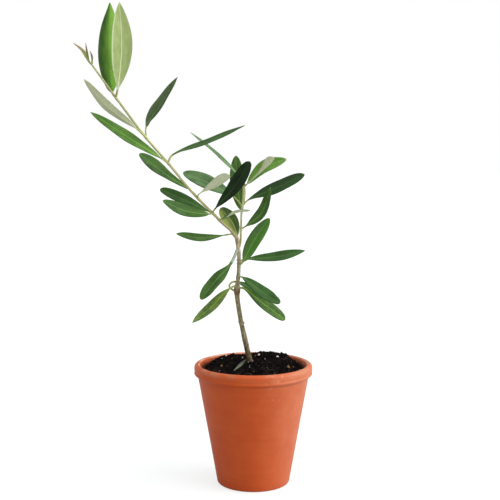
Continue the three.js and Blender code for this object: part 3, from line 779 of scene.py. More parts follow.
def on_limb(limb, height):
    """Where a limb's centre line reaches a height. Every limb only rises."""
    path = LIMBS[limb]["path"]
    for low, high in zip(path, path[1:]):
        if high.z >= height:
            return low.lerp(high, (height - low.z) / (high.z - low.z))
    return path[-1]


def girth_at(limb, height):
    """Radius at a height: the taper, with a small swelling at each joint where leaves stand."""
    table = LIMBS[limb]["girth"]
    radius = table[-1][1] if height >= table[-1][0] else table[0][1]
    for (z0, r0), (z1, r1) in zip(table, table[1:]):
        if z0 <= height < z1:
            radius = r0 + (r1 - r0) * smooth_step(height, z0, z1)
    joints = LIMBS[limb]["joints"]
    return radius + 0.3 * max([exp(-(((height - at) / 1.6) ** 2)) for at in joints], default=0)


limb_skin = Recipe("Grown limb", {
    "Sides": 24, "Relief": 0.1, "Furrow Length": 6.0, "Material": bpy.types.Material})
line = limb_skin.step("GeometryNodeMeshToCurve", (limb_skin.start,))
girth = limb_skin.number("girth")


def captured(recipe, geometry, value):
    """Geometry that carries a number of its own along, and that number."""
    made = recipe.tree.nodes.new("GeometryNodeCaptureAttribute")
    made.capture_items.new("FLOAT", "Value")
    plug(recipe.tree, made.inputs[0], geometry)
    plug(recipe.tree, made.inputs[1], value)
    return made.outputs[0], Field(made.outputs[1])


line, run = captured(limb_skin, line, limb_skin.step("GeometryNodeSplineParameter", output=1))
hoop = limb_skin.step("GeometryNodeCurvePrimitiveCircle", {"Resolution": limb_skin["Sides"], "Radius": 1.0})
hoop, lap = captured(limb_skin, hoop, limb_skin.step("GeometryNodeSplineParameter"))
line, thick = captured(limb_skin, line, girth)
tube = limb_skin.step("GeometryNodeCurveToMesh", {
    "Curve": line, "Profile Curve": hoop, "Scale": girth, "Fill Caps": True})
lap = lap * (2 * pi)
bark_place = vector_of(lap.math("COSINE") * thick, lap.math("SINE") * thick, run)
tube = limb_skin.keep(tube, "bark", bark_place)
kept_place = limb_skin.stored("bark")
furrows = kept_place.stretched((1.0, 1.0, 0.0)) * (1 / MM)
furrows = furrows + vector_of(0.0, 0.0, kept_place.parts()[2] / limb_skin["Furrow Length"] / MM)
relief = furrows.noise(scale=1.6, detail=4.0, roughness=0.6) - 0.5
tube = limb_skin.pushed_out(tube, relief * limb_skin["Relief"] * MM)
limb_skin.finish(limb_skin.step("GeometryNodeSetShadeSmooth", {"Geometry": tube}), "Material")
KNOT_HEIGHT = 179.5 * MM


def bark(name, foot, body, top, cork, low, high, blots=0.0, furrow=5.0):
    """Bark that changes from foot to body above the low height and to top below the high one."""
    finish = Finish(name, Specular_IOR_Level=0.3)
    around = finish.attribute("bark")
    mottle, grain = grain_of(finish, around, 3 * MM, 0.35 * MM)
    up = finish.place().parts()[2]
    level = up + (mottle - 0.5) * (8 * MM)
    skin = finish.mix(level.eased(low, low + 30 * MM), foot, body)
    skin = finish.mix(level.eased(high - 30 * MM, high), skin, top)
    streaks = around.stretched((900.0, 900.0, 900.0 / furrow)).noise(scale=1.0, detail=4.0, roughness=0.65)
    skin = finish.mix(streaks.eased(0.42, 0.62) * 0.75, skin, cork)
    specks = around.stretched((800.0, 800.0, 300.0)).noise(scale=1.0, detail=2.0)
    skin = finish.mix(specks.eased(0.58, 0.68) * 0.55, skin, (0.56, 0.50, 0.36))
    if blots:
        near_knot = abs(up - KNOT_HEIGHT).eased(4.5 * MM, 1.0 * MM)
        skin = finish.mix(near_knot * 0.7, skin, (0.17, 0.085, 0.038))
        blot = around.stretched((620.0, 620.0, 300.0)).noise(scale=1.0, detail=3.0, roughness=0.6)
        wear_and_highlight = level.eased(high - 50 * MM, low + 30 * MM, 0.35, 1.0)
        skin = finish.mix(blot.eased(0.52, 0.62) * wear_and_highlight * blots, skin, (0.045, 0.030, 0.015))
        splashed = level.eased(low + 4 * MM, low - 3 * MM)
        skin = finish.mix(splashed * 0.65, skin, (0.030, 0.018, 0.012))
    height = streaks * 0.7 + grain * 0.3
    return finish.done(skin, grain.eased(0.0, 1.0, 0.6, 0.85), height, depth=0.3 * MM)


BARKS = {
    "trunk": bark("stem_bark", foot=(0.17, 0.11, 0.045), body=(0.30, 0.26, 0.14), top=(0.54, 0.45, 0.29),
                  cork=(0.11, 0.085, 0.045), low=116 * MM, high=226 * MM, blots=0.9),
    "leader": bark("leader_bark", foot=(0.34, 0.30, 0.155), body=(0.41, 0.39, 0.20), top=(0.46, 0.48, 0.21),
                   cork=(0.27, 0.25, 0.10), low=230 * MM, high=325 * MM, furrow=9.0),
    "side_shoot": bark("shoot_bark", foot=(0.33, 0.35, 0.15), body=(0.43, 0.43, 0.22), top=(0.46, 0.46, 0.23),
                       cork=(0.24, 0.26, 0.10), low=216 * MM, high=290 * MM, furrow=9.0),
}

# Stubs of shed leaves and resting buds: limb, height, direction outward, radius, length (mm).
STUBS = [
    ("trunk", 150.4, (-1, -0.2, 0.3), 0.8, 1.1), ("trunk", 149.6, (1, -0.2, 0.3), 0.8, 0.9),
    ("trunk", 144.9, (-0.2, -1, 0.3), 0.9, 0.9), ("trunk", 208.6, (-1, -0.3, 0.5), 0.7, 1.4),
    ("leader", 299.6, (0.7, -0.5, 0.5), 0.55, 1.1), ("leader", 268.4, (-0.2, -0.7, 0.6), 0.55, 1.0),
    ("side_shoot", 239.6, (-0.8, -0.4, 0.5), 0.5, 0.9),
]


def join(name, parts):
    """Several objects as one, under one name."""
    with bpy.context.temp_override(active_object=parts[0], selected_editable_objects=parts):
        bpy.ops.object.join()
    parts[0].name = name
    parts[0].data.name = name
    return parts[0]


def in_metres(points):
    return [Vector(point) * MM for point in points]


for limb, shape in LIMBS.items():
    shape["path"] = smooth_path(shape["points"])
    girths = [girth_at(limb, point.z) * MM for point in shape["path"]]
    parts = [limb_skin.make(limb, strand(limb, in_metres(shape["path"]), girth=girths), sides=shape["sides"],
                            relief=shape["relief"], furrow_length=6.0, material=BARKS[limb])]
    for _, height, out, radius, reach in (stub for stub in STUBS if stub[0] == limb):
        start = on_limb(limb, height)
        end = start + Vector(out).normalized() * (girth_at(limb, height) + reach)
        peg = smooth_path([start, end], step=0.12)
        taper = [radius * (1 - 0.98 * ((i / (len(peg) - 1)) ** 5)) * MM for i in range(len(peg))]
        parts.append(limb_skin.make("stub", strand("stub", in_metres(peg), girth=taper), sides=14,
                                    relief=0.08, furrow_length=2.0, material=BARKS[limb]))
    dress(join(limb + "_bark", parts), "bark" if limb == "trunk" else "shoot", limb)

# ---------------------------------------------------------------- leaves
# Olive leaves stand in pairs at the joints, each on a short pale stalk. The blade is lance-shaped and
# leathery, dark and half glossy above with a pale midrib in a shallow groove, and silvery below, where
# the midrib stands out. It folds a little along the midrib, and its edges roll under.

leaf_skin = Recipe("Olive leaf", {
    "Stations": 80, "Around": 40, "Stalk Share": 0.1, "Face": (0.0, 0.0, 1.0), "Twist": 0.0,
    "Width": 12 * MM, "Base Taper": 0.85, "Tip Taper": 0.6, "Stalk Radius": 0.6 * MM,
    "Thickness": 0.5 * MM, "Fold": 0.22, "Wave": 0.5 * MM, "Phase": 0.0,
    "Upper": bpy.types.Material, "Under": bpy.types.Material, "Stalk": bpy.types.Material})

RIB_REACH = 0.75 * MM  # to each side of the midrib
RIB_RIDGE = 0.34 * MM  # how far it stands out below
RIB_GROOVE = 0.12 * MM  # how deep it lies above
RIPPLE_LENGTH = 5.5 * MM  # along the rim, for a sixth of a wave
BLUNTNESS = 1.0 * MM  # the blade's tip closes over this length


def between(share, first, second):
    """From first to second by a share, for a Field and two numbers or Fields."""
    return (share * -1 + 1) * first + share * second


midrib = leaf_skin.step("GeometryNodeMeshToCurve", (leaf_skin.start,))
sheet = leaf_skin.step("GeometryNodeMeshGrid", {
    "Size X": 1.0, "Size Y": 1.0, "Vertices X": leaf_skin["Stations"], "Vertices Y": leaf_skin["Around"] + 1})
spot_x, spot_y, _ = leaf_skin.position().parts()
way, lap = spot_x + 0.5, spot_y + 0.5
raw_share = (way - leaf_skin["Stalk Share"]) / (leaf_skin["Stalk Share"] * -1 + 1)
share = raw_share.at_least(0.0).at_most(1.0)
line = add_node(leaf_skin.tree, "GeometryNodeSampleCurve", {"Curves": midrib, "Factor": way}, mode="FACTOR")
centre, ahead = Direction(line.outputs["Position"]), Direction(line.outputs["Tangent"])
length = Field(leaf_skin.step("GeometryNodeCurveLength", (midrib,)))
up = leaf_skin["Face"].turned(ahead, leaf_skin["Twist"] * share.eased(0.0, 0.7).taken_from(1.0))
up = (up - ahead * up.dot(ahead)).unit()
side = up.cross(ahead)

opened = share.eased(0.0, 0.12) * share.eased(0.94, 1.0).taken_from(1.0)
widest = leaf_skin["Base Taper"] / (leaf_skin["Base Taper"] + leaf_skin["Tip Taper"])
swell = (share / widest) ** leaf_skin["Base Taper"]
point = (share.taken_from(1.0) / widest.taken_from(1.0)) ** leaf_skin["Tip Taper"]
stalk = leaf_skin["Stalk Radius"] * share.eased(0.0, 0.6, 1.0, 0.3)
half = (leaf_skin["Width"] * 0.5 * swell * point).at_least(stalk)

linear = abs(lap * 4 - 2) - 1.0
across = linear * abs(linear) ** 0.35
top_side = lap.math("LESS_THAN", 0.5)
facing = top_side * 2 - 1.0
rim = (abs(across) ** between(opened, 2.0, 8.0)).taken_from(1.0).at_least(0.0) ** 0.5
depth = between(opened, stalk, leaf_skin["Thickness"] * 0.5) * rim
off_rib = across * half / RIB_REACH
rib = (off_rib * off_rib * -1).math("EXPONENT") * opened * share.taken_from(1.0)
rib = rib * abs(across).eased(1.0, 0.6)
depth = depth + rib * between(top_side, RIB_RIDGE, -RIB_GROOVE)
crease = ((across * across + 0.015) ** 0.5 - 0.12) * half * leaf_skin["Fold"]
roll = across ** 8 * half * -0.07
ripple = (share * length / RIPPLE_LENGTH + leaf_skin["Phase"]).math("SINE")
wave = ripple * leaf_skin["Wave"] * across * across * across.math("SIGN")
lift = (crease + roll + wave) * opened

shut = (way * 400).at_most(1.0) * ((way.taken_from(1.0) * length) / BLUNTNESS).at_most(1.0) ** 0.5
blade = centre + side * (across * half * shut) + up * ((lift + depth * facing) * shut)
sheet = leaf_skin.keep(sheet, "blade", vector_of(across, raw_share, top_side))
sheet = leaf_skin.keep(sheet, "span", vector_of(across * half, way * length, top_side))
sheet = leaf_skin.step("GeometryNodeSetPosition", {"Geometry": sheet, "Position": blade})
sheet = leaf_skin.step("GeometryNodeFlipFaces", (sheet,))  # the rolled grid comes out inside out
_, kept_share, kept_side = leaf_skin.stored("blade").parts()
leaf_skin.finish(leaf_skin.skin(sheet), "Upper", ("Under", kept_side.math("LESS_THAN", 0.5)),
                 ("Stalk", kept_share.math("LESS_THAN", 0.0)))


def leaf_group():
    """The look of a blade: flesh, a midrib that thins to the tip, faint side veins and a mottle."""
    tree = bpy.data.node_groups.new("Leaf face", "ShaderNodeTree")
    entry = add_inputs(tree, {
        "Flesh": (0.1, 0.2, 0.05, 1.0), "Shade": (0.05, 0.1, 0.03, 1.0), "Rib": (0.4, 0.5, 0.2, 1.0),
        "Rim": (0.4, 0.5, 0.2, 1.0), "Rib Width": 0.5 * MM, "Vein Strength": 0.2, "Painted Side Light": 0.0,
        "Dapple": 0.2, "Painted Edge Highlight": 0.0})
    add_outputs(tree, Color="Color", Roughness="Float", Height="Float")
    blade = Direction(add_node(tree, "ShaderNodeAttribute", attribute_name="blade").outputs["Vector"])
    span = Direction(add_node(tree, "ShaderNodeAttribute", attribute_name="span").outputs["Vector"])
    across, share, _ = blade.parts()
    aside, along, _ = span.parts()
    given = {socket.name: Field(socket) for socket in entry.outputs}
    mottle = span.stretched((1.0, 0.4, 1.0)).noise(scale=1 / (4.5 * MM), detail=1.5, roughness=0.5)
    dapple = span.stretched((1.0, 0.6, 1.0)).noise(scale=1 / (1.7 * MM), detail=3.0, roughness=0.65)
    pores = span.noise(scale=1 / (0.35 * MM), detail=2.0)
    rib_width = given["Rib Width"] * share.eased(0.0, 1.0, 1.25, 0.35)
    rib = abs(aside).eased(rib_width, rib_width * 0.35)
    beat = (along - abs(aside) * 1.5 + (mottle - 0.5) * (1.2 * MM)) * (2 * pi / (3.1 * MM))
    veins = beat.math("SINE").eased(0.55, 1.0) * abs(across).eased(0.9, 0.5) * given["Vein Strength"]
    rim = abs(across).eased(0.88, 1.0)
    painted_side_light = given["Painted Side Light"]
    # painted light and shade: the side share paints the shade colour on one half of the blade and the flesh
    # on the other, as light and shade from one side; the rest of the mix is the leaf's own mottle
    shaded = mottle.eased(0.3, 0.7) * painted_side_light.taken_from(1.0) + across.eased(-0.4, 0.75) * painted_side_light
    # painted highlight: one edge of the blade is painted as pale as the midrib
    painted_edge_highlight = across.eased(-0.74, -0.9) * given["Painted Edge Highlight"]

    def blend(amount, first, second):
        return add_node(tree, "ShaderNodeMix", {0: amount, 6: first, 7: second}, data_type="RGBA").outputs[2]

    flesh = blend(shaded, given["Flesh"], given["Shade"])
    flesh = blend(dapple.eased(0.48, 0.72) * given["Dapple"], flesh, given["Rib"])
    flesh = blend((veins + share.eased(0.2, 0.0) * 0.5).at_most(1.0), flesh, given["Rib"])
    # on most upper sides the rim colour is darker than the flesh, a painted shade along the rolled edges;
    # below, it is the upper side's green rolled under
    flesh = blend(rim * 0.7, flesh, given["Rim"])
    colour = blend(rib, blend(painted_edge_highlight, flesh, given["Rib"]), given["Rib"])
    gloss = pores.eased(0.2, 0.8, 0.40, 0.52) + rib * 0.08
    height = pores * 0.25 + veins * -0.8 + rib * 0.3
    add_node(tree, "NodeGroupOutput", (colour, gloss, height))
    return tree


leaf_face = leaf_group()


def leaf_finish(name, tone, rib_width, veins, specular, depth, edge=0.0):
    finish = Finish(name, Specular_IOR_Level=specular)
    *colours, painted_side_light, dapple = tone
    made = add_node(finish.tree, "ShaderNodeGroup", node_tree=leaf_face,
                    inputs=(*colours, rib_width, veins, painted_side_light, dapple, edge))
    return finish.done(*made.outputs, depth=depth)


# Upper sides, roughly from the oldest and most shaded leaves to the youngest and best lit, and the looks of
# the silvery underside. Each is the colours of its flesh, its shade, its midrib and its rim, how far flesh
# and shade keep to a side of the midrib, and how strongly the flesh is dappled with the midrib's colour. The
# tones are partly the leaves' own greens and partly painted light and shade: darker copies for leaves in
# shade and lighter ones for lit leaves, and where flesh and shade keep to a side, one half painted lit and
# the other painted in shade.
UPPER_TONES = {
    # painted shade: the darkest copy, for an old leaf that lies in shade
    "deep": ((0.009, 0.027, 0.007), (0.005, 0.014, 0.004),
             (0.03, 0.06, 0.015), (0.02, 0.045, 0.012), 0, 0.15),
    # painted shade: a dark copy for a leaf in shade, with one half greyer in painted shade
    "shady": ((0.015, 0.06, 0.009), (0.018, 0.038, 0.015),
              (0.055, 0.105, 0.03), (0.018, 0.042, 0.011), 0.6, 0.2),
    "dark": ((0.034, 0.098, 0.018), (0.019, 0.058, 0.011),
             (0.075, 0.15, 0.036), (0.02, 0.056, 0.012), 0.2, 0.3),
    # partly painted reflection: a grey-blue painted sky sheen over the green
    "dusky": ((0.115, 0.212, 0.084), (0.062, 0.132, 0.048),
              (0.19, 0.295, 0.125), (0.06, 0.115, 0.042), 0, 0.3),
    "green": ((0.058, 0.135, 0.024), (0.026, 0.076, 0.014),
              (0.13, 0.235, 0.06), (0.038, 0.088, 0.02), 0.2, 0.3),
    "mottled": ((0.135, 0.215, 0.04), (0.044, 0.1, 0.022),
                (0.26, 0.37, 0.075), (0.06, 0.095, 0.032), 0, 0.6),
    "leafy": ((0.056, 0.18, 0.018), (0.055, 0.112, 0.034),
              (0.13, 0.25, 0.06), (0.04, 0.09, 0.02), 0.7, 0.2),
    "flecked": ((0.05, 0.118, 0.016), (0.024, 0.072, 0.01),
                (0.19, 0.35, 0.05), (0.04, 0.085, 0.018), 0.1, 0.5),
    "fresh": ((0.112, 0.25, 0.03), (0.058, 0.15, 0.018),
              (0.23, 0.38, 0.085), (0.075, 0.175, 0.024), 0.2, 0.3),
    "grassy": ((0.08, 0.19, 0.026), (0.045, 0.125, 0.016),
               (0.16, 0.29, 0.055), (0.052, 0.125, 0.02), 0.2, 0.3),
    # painted light and shade: one half painted bright where the light falls, the other half painted dark
    "bright": ((0.19, 0.39, 0.052), (0.022, 0.078, 0.008),
               (0.105, 0.25, 0.03), (0.05, 0.125, 0.02), 0.85, 0.1),
    # painted reflection: one half of the blade is greyed by a painted sheen, the other is dark green
    "bloomed": ((0.034, 0.084, 0.014), (0.08, 0.12, 0.056),
                (0.15, 0.21, 0.11), (0.065, 0.12, 0.035), 0.6, 0.2),
    # painted light and shade: one half painted lit yellow-green, the other half painted dark in shade
    "olive": ((0.04, 0.095, 0.018), (0.3, 0.36, 0.085),
              (0.42, 0.48, 0.2), (0.1, 0.16, 0.04), 0.9, 0.25),
}
UNDER_TONES = {
    "silver": ((0.56, 0.62, 0.42), (0.51, 0.57, 0.37), (0.64, 0.69, 0.46), (0.26, 0.32, 0.15), 0, 0.1),
    "sage": ((0.46, 0.5, 0.31), (0.42, 0.46, 0.28), (0.55, 0.6, 0.38), (0.22, 0.26, 0.13), 0, 0.1),
    "young": ((0.36, 0.45, 0.18), (0.29, 0.37, 0.13), (0.6, 0.68, 0.4), (0.13, 0.19, 0.04), 0, 0.1),
}
HIGHLIGHT_EDGED = ("young",)  # undersides with a painted highlight along one edge, as pale as the midrib
UPPERS = {name: leaf_finish("leaf_" + name, tone, rib_width=0.55 * MM, veins=0.10, specular=0.14,
                            depth=0.08 * MM)
          for name, tone in UPPER_TONES.items()}
UNDERS = {name: leaf_finish("underside_" + name, tone, rib_width=0.6 * MM, veins=0.05, specular=0.1,
                            depth=0.02 * MM, edge=0.85 if name in HIGHLIGHT_EDGED else 0.0)
          for name, tone in UNDER_TONES.items()}


def stalk_finish():
    finish = Finish("leaf_stalk", Specular_IOR_Level=0.35)
    span = finish.attribute("span")
    mottle, grain = grain_of(finish, span, 2 * MM, 0.3 * MM)
    green = finish.mix(mottle, (0.24, 0.29, 0.07), (0.38, 0.41, 0.14))
    return finish.done(green, grain.eased(0.0, 1.0, 0.45, 0.6), grain, depth=0.05 * MM)


STALK = stalk_finish()
GREY_TONE = ((0.3, 0.38, 0.27), (0.2, 0.27, 0.17), (0.36, 0.42, 0.32), (0.12, 0.18, 0.09), 0, 0.1)
GREY_STALK = leaf_finish("grey_stalk", GREY_TONE, rib_width=0.3 * MM, veins=0.05, specular=0.2,
                         depth=0.02 * MM)
BASE_TAPER = 0.85
TIP_TAPER = 0.6
FOLD = 0.22
STALK_RADIUS = 0.72


def grow_leaf(name, root, leaf, phase, upper, under, stalk=STALK, **shape):
    """One leaf from its root, in millimetres: stalk, blade and bow as offsets, and its width."""
    stalk_end = root + Vector(leaf["stalk"])
    tip = stalk_end + Vector(leaf["blade"])
    middle = stalk_end.lerp(tip, 0.5) + Vector(leaf.get("bow", (0, 0, 0)))
    loop = [root + Vector(offset) for offset in leaf.get("loop", [])]
    path = smooth_path([root, *loop, stalk_end, middle, tip])
    whole = sum((b - a).length for a, b in zip(path, path[1:]))
    blade = (middle - stalk_end).length + (tip - middle).length
    return leaf_skin.make(
        name, strand(name, in_metres(path)), stalk_share=1 - blade / whole, face=leaf["face"],
        twist=radians(leaf.get("twist", 0)), width=leaf["width"] * MM, tip_taper=leaf.get("point", TIP_TAPER),
        base_taper=leaf.get("base", BASE_TAPER), fold=leaf.get("fold", FOLD), phase=phase,
        upper=upper, under=under, stalk=stalk, **shape)


# Each mass of leaves, by its limb. From the limb's centre line at the height `at` (mm):
# stalk - offset to the end of its stalk; blade - from there to the leaf's tip;
# loop - offsets that a looping stalk passes through before its end;
# bow - how far the blade's middle stands off the straight line; face - where the dark upper side looks;
# width - across the blade; base and point - how the outline widens from the base and narrows to the tip;
# fold - how far its halves stand up; twist - degrees that it turns about its midrib, from base to tip;
# tone and under - its two sides; stalk_radius and stalk_look - its stalk, if not the usual one.
MASSES = {
    "trunk_1": ("trunk", [
        dict(at=186, stalk=(-6.5, -2.5, -2.5), blade=(-35, -9, -31), bow=(0, 0, -1.6),
             face=(-0.45, -0.75, 0.6), width=12, point=0.85, tone="mottled", stalk_radius=0.9),
        dict(at=182.5, stalk=(5, -1.5, 1), blade=(39.6, -3, -29.6), face=(0.4, -0.7, 0.6), width=13.5,
             point=0.5, tone="flecked", stalk_radius=1.0),
        dict(at=180.5, stalk=(-3.3, 6.3, 7.8), loop=[(-4.2, 0.5, 1), (-7.2, 2.5, 4.4)],
             blade=(44, 2.7, -20.5), bow=(0, 2, 1), face=(0.2, -0.75, 0.6), width=10.5, point=0.42,
             tone="dark", stalk_radius=0.9),
    ]),
    "trunk_2": ("trunk", [
        dict(at=193.5, stalk=(3, -2, 0.5), blade=(32.5, -14, -21.5), bow=(1, 0, -1), face=(0.4, -0.75, 0.6),
             width=14, point=0.5, tone="dark"),
    ]),
    "trunk_3": ("trunk", [
        dict(at=204.5, stalk=(4, -3, 4), blade=(24.3, 3.5, 39.8), bow=(-2.5, -1, -1.4),
             face=(-0.3, -0.95, 0.2), width=13.3, base=0.6, tone="leafy", stalk_radius=1.0),
        dict(at=208.5, stalk=(7.5, 3, 1.5), blade=(54, 4, 7.6), bow=(0, 0, -1.9), face=(0, -0.7, 0.7),
             width=11.4, point=0.75, tone="dark", stalk_radius=0.95),
    ]),
    "trunk_4": ("trunk", [
        dict(at=221, stalk=(-6, -5, -13), blade=(-28.5, -6, -33.6), bow=(-0.4, 0, 0), face=(-0.5, -0.8, 0.4),
             width=12.5, point=0.5, twist=-70, tone="green", stalk_radius=1.4, stalk_look=GREY_STALK),
    ]),
    "fork": ("leader", [
        dict(at=234, stalk=(-4.8, -1, -0.7), blade=(-47.7, -4, 1.2), bow=(-1, -0.5, -3.6),
             face=(0, -0.6, 0.8), width=11, base=1.4, point=0.85, tone="green"),
        dict(at=231, stalk=(1.1, 3.1, 1), blade=(-16.2, 18, 24.4), bow=(3.4, 0, -0.4), face=(-0.3, -0.9, 0.4),
             width=13.6, base=0.6, fold=0.6, tone="olive"),
    ]),
    "leader_1": ("leader", [
        dict(at=247, stalk=(3, -5, 1.5), blade=(25.5, -25, 9), bow=(1, -2, 2), face=(-0.25, 0.6, 1),
             width=11.5, point=0.9, twist=65, tone="green"),
    ]),
    "leader_2": ("leader", [
        dict(at=252.5, stalk=(-4.5, 4, 2), blade=(-45, 5, 20.6), bow=(0, 0, 0.2), face=(0.35, -0.75, 0.6),
             width=12.5, base=0.85, point=0.5, tone="dark"),
        dict(at=253, stalk=(-3.6, -3, -0.3), blade=(-41.2, -10.5, 12.8), bow=(0, 0, -3.5),
             face=(0.1, -0.8, 0.6), width=12.3, base=0.62, tone="green"),
        dict(at=253.5, stalk=(2.6, -3, 4), blade=(31.8, -10, 42.8), bow=(2.3, -2, -0.5),
             face=(-0.5, -0.8, 0.1), width=14.5, base=0.95, point=0.5, tone="deep"),
    ]),
    "leader_3": ("leader", [
        dict(at=267, stalk=(-3.6, 5, 4.4), blade=(-50.1, 5, 36.1), bow=(-1.2, 0, -0.7),
             face=(0.4, -0.75, 0.55), width=13.3, base=1.4, point=0.55, tone="green"),
        dict(at=267, stalk=(0.5, -3.5, 3), blade=(28.2, -22, 19.4), bow=(0, 0, -0.7), face=(-0.2, 0.75, 0.7),
             width=12, base=1.35, point=0.45, tone="green"),
    ]),
    "leader_4": ("leader", [
        dict(at=298, stalk=(-6.5, -2.5, 5), blade=(-62.2, -7, 41.1), bow=(-0.3, 0, -0.3),
             face=(0.4, -0.8, 0.5), width=11.4, point=0.8, tone="grassy"),
        dict(at=299, stalk=(3.4, 2, 6.5), blade=(66.6, 9, 27.5), bow=(0, 0, -0.9), face=(-0.35, -0.5, 0.85),
             width=10.6, point=0.85, tone="dark", stalk_radius=0.9),
    ]),
    "leader_5": ("leader", [
        dict(at=320.5, stalk=(-9, -5, 9.3), blade=(-44, -12, 42.4), bow=(-2.9, -1, -1.9),
             face=(0.3, 0.85, 0.5), width=10.4, base=0.75, point=0.75, tone="green", under="sage"),
        dict(at=321.5, stalk=(0, 2.5, 9.5), blade=(28.2, 8, 45.5), bow=(0.5, 0, 0), face=(-0.65, -0.75, 0.3),
             width=12.8, base=0.65, point=0.95, fold=0.5, tone="bloomed"),
    ]),
    "leader_6": ("leader", [
        dict(at=355.5, stalk=(-4.4, 3.5, 5.5), blade=(-2.3, 8, 81), bow=(-3.3, 0, -1), face=(-0.15, -1, 0.1),
             width=21.2, base=0.72, point=0.9, fold=-0.5, tone="bright", under="young", stalk_radius=0.9),
        dict(at=357, stalk=(2, -2.5, 6.5), blade=(3.7, -8, 75.6), bow=(2.9, -1, -1.3), face=(-0.15, 1, 0.1),
             width=18.6, base=0.98, point=0.95, fold=-0.18, tone="fresh", under="young", stalk_radius=0.95),
    ]),
    "side_shoot_1": ("side_shoot", [
        dict(at=238, stalk=(4, -1.5, 2.5), blade=(23, -9, 36.5), bow=(3.6, -1, -5), face=(-0.55, -0.75, 0.3),
             width=11.5, point=0.8, tone="green"),
    ]),
    "side_shoot_2": ("side_shoot", [
        dict(at=253.5, stalk=(-0.5, 3, 2), blade=(-5, 14, 50), bow=(-1, 2, 0), face=(0, -0.95, 0.3), width=14,
             base=0.6, tone="green"),
        dict(at=259, stalk=(5, 0.5, 5.5), blade=(52.5, 3, 23.9), bow=(0.3, 0, -0.5), face=(-0.3, -0.8, 0.55),
             width=13.5, point=0.62, tone="shady"),
        dict(at=258.5, stalk=(-7.5, 1, 8.6), blade=(-47.8, 9, 22.9), bow=(0, 0, 1.5), face=(0.3, -0.85, 0.5),
             width=15.5, tone="dusky"),
    ]),
    "side_shoot_3": ("side_shoot", [
        dict(at=277, stalk=(-2, -4, 6), blade=(-47.5, 5, 44), bow=(2.4, -1, 0.5), face=(0.6, -0.4, 0.7),
             width=7.4, point=0.9, tone="dusky"),
        dict(at=276.5, stalk=(3, 1.5, 2.8), blade=(36.5, 3.5, 23), bow=(-2.6, 0, 3.8),
             face=(-0.4, -0.75, 0.55), width=14.6, base=0.7, tone="fresh"),
        dict(at=277, stalk=(2.8, -2.5, 2.4), blade=(23.2, -18, 25.4), bow=(0.9, 0, -0.6),
             face=(-0.45, 0.8, 0.5), width=9.6, base=3.0, point=0.45, tone="green", under="sage"),
    ]),
}

unfurl = Random(7)
for mass, (limb, leaves) in MASSES.items():
    parts = []
    for leaf in leaves:
        parts.append(grow_leaf("leaf", on_limb(limb, leaf["at"]), leaf, phase=unfurl.uniform(0, 2 * pi),
                               upper=UPPERS[leaf["tone"]], under=UNDERS[leaf.get("under", "silver")],
                               stalk=leaf.get("stalk_look", STALK),
                               stalk_radius=leaf.get("stalk_radius", STALK_RADIUS) * MM,
                               wave=unfurl.uniform(0.15, 0.5) * MM))
    dress(join("leaves_" + mass, parts), "leaf", "foliage_" + mass)

# ---------------------------------------------------------------- growing tip
# The leader ends in a soft bud: a hair-thin stem that carries on, with three narrow leaflets that have
# not opened. They are tan and pinkish where they are youngest, and covered in pale scales.

TIP_LEAFLETS = [
    dict(stalk=(-2.6, -0.4, 2.8), blade=(-13.6, -2, 16.2), bow=(1, 0, 1.3), face=(0.5, -0.8, 0.5), width=3.9,
         base=0.5, point=1.1, fold=0.6),
    dict(stalk=(-2.2, 0.1, 2.6), blade=(-2.8, -1.5, 16.9), bow=(-0.3, 0, 0.4), face=(-0.4, -0.8, 0.2),
         width=2.4, base=0.5, point=0.9, fold=0.6),
    dict(stalk=(0, 1.1, 2.2), blade=(-2.1, 1, 10.8), bow=(1.3, 0, -0.8), face=(-0.5, -0.7, 0.2), width=2.1,
         base=0.9, point=1.3, fold=0.6),
]
TIP_STEM = 5.0  # mm past the leader's end
TIP_ROOT = 1.3  # mm past it, where the leaflets spring
TIP_RADIUS = 0.82


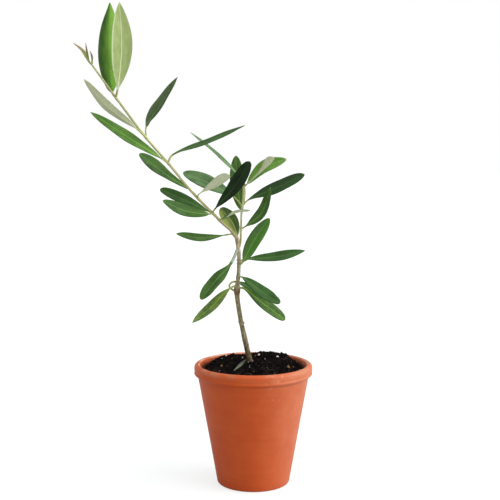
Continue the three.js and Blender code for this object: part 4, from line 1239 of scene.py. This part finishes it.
def bud_finish(name, base, tip):
    """Green and smooth at the base, pinkish and scaly at the tip."""
    finish = Finish(name, Specular_IOR_Level=0.25)
    mottle, grain = grain_of(finish, finish.attribute("span"), 2.5 * MM, 0.5 * MM)
    _, share, _ = finish.attribute("blade").parts()
    colour = finish.mix((share + (mottle - 0.5) * 0.5).eased(0.2, 0.75), base, tip)
    colour = finish.mix(grain.eased(0.45, 0.75) * 0.6, colour, (0.15, 0.095, 0.05))
    return finish.done(colour, grain.eased(0.0, 1.0, 0.5, 0.75), grain, depth=0.2 * MM)


bud_upper = bud_finish("bud_scale", (0.26, 0.31, 0.09), (0.36, 0.29, 0.165))
bud_under = bud_finish("bud_down", (0.32, 0.36, 0.13), (0.50, 0.43, 0.28))
leader_end = LIMBS["leader"]["path"][-1]
heading = (leader_end - LIMBS["leader"]["path"][-4]).normalized()
stem = smooth_path([leader_end - heading, leader_end + heading * TIP_STEM], step=0.2)
taper = [TIP_RADIUS * (1 - 0.9 * (i / (len(stem) - 1)) ** 3) * MM for i in range(len(stem))]
tip_parts = [limb_skin.make("tip_stem", strand("tip_stem", in_metres(stem), girth=taper), sides=16,
                            relief=0.1, furrow_length=4.0, material=BARKS["leader"])]
for leaflet in TIP_LEAFLETS:
    tip_parts.append(grow_leaf("leaflet", leader_end + heading * TIP_ROOT, leaflet, phase=1.0,
                               upper=bud_upper, under=bud_under, stalk=bud_upper,
                               stalk_radius=0.75 * MM, wave=0.1 * MM))
dress(join("tip_leaflets", tip_parts), "young_leaf", "leader_tip")

# ---------------------------------------------------------------- shed leaf
# A narrow leaf has dropped on the compost in front of the stem and dried there, pale side up.

SHED_STALK = Vector((1, 3, 0.2))
shed = dict(stalk=SHED_STALK, blade=(SHED_LEAF_TO - SHED_LEAF_FROM) / MM - SHED_STALK, bow=(0, 0, -0.3),
            face=(0.7, 0, 1), width=SHED_LEAF_WIDTH / MM, point=0.9, fold=0.35)
DRY_TONE = ((0.07, 0.08, 0.052), (0.036, 0.041, 0.026), (0.15, 0.17, 0.11), (0.21, 0.24, 0.16), 0.3, 0.2)
dry = leaf_finish("dry_leaf", DRY_TONE, rib_width=0.35 * MM, veins=0.1, specular=0.2, depth=0.12 * MM)
shed_leaf = grow_leaf("shed_leaf", SHED_LEAF_FROM / MM, shed, phase=2.0, upper=dry, under=dry, stalk=dry,
                      stalk_radius=0.4 * MM, wave=0.3 * MM)
dress(shed_leaf, "dry_leaf", "fallen_leaf")
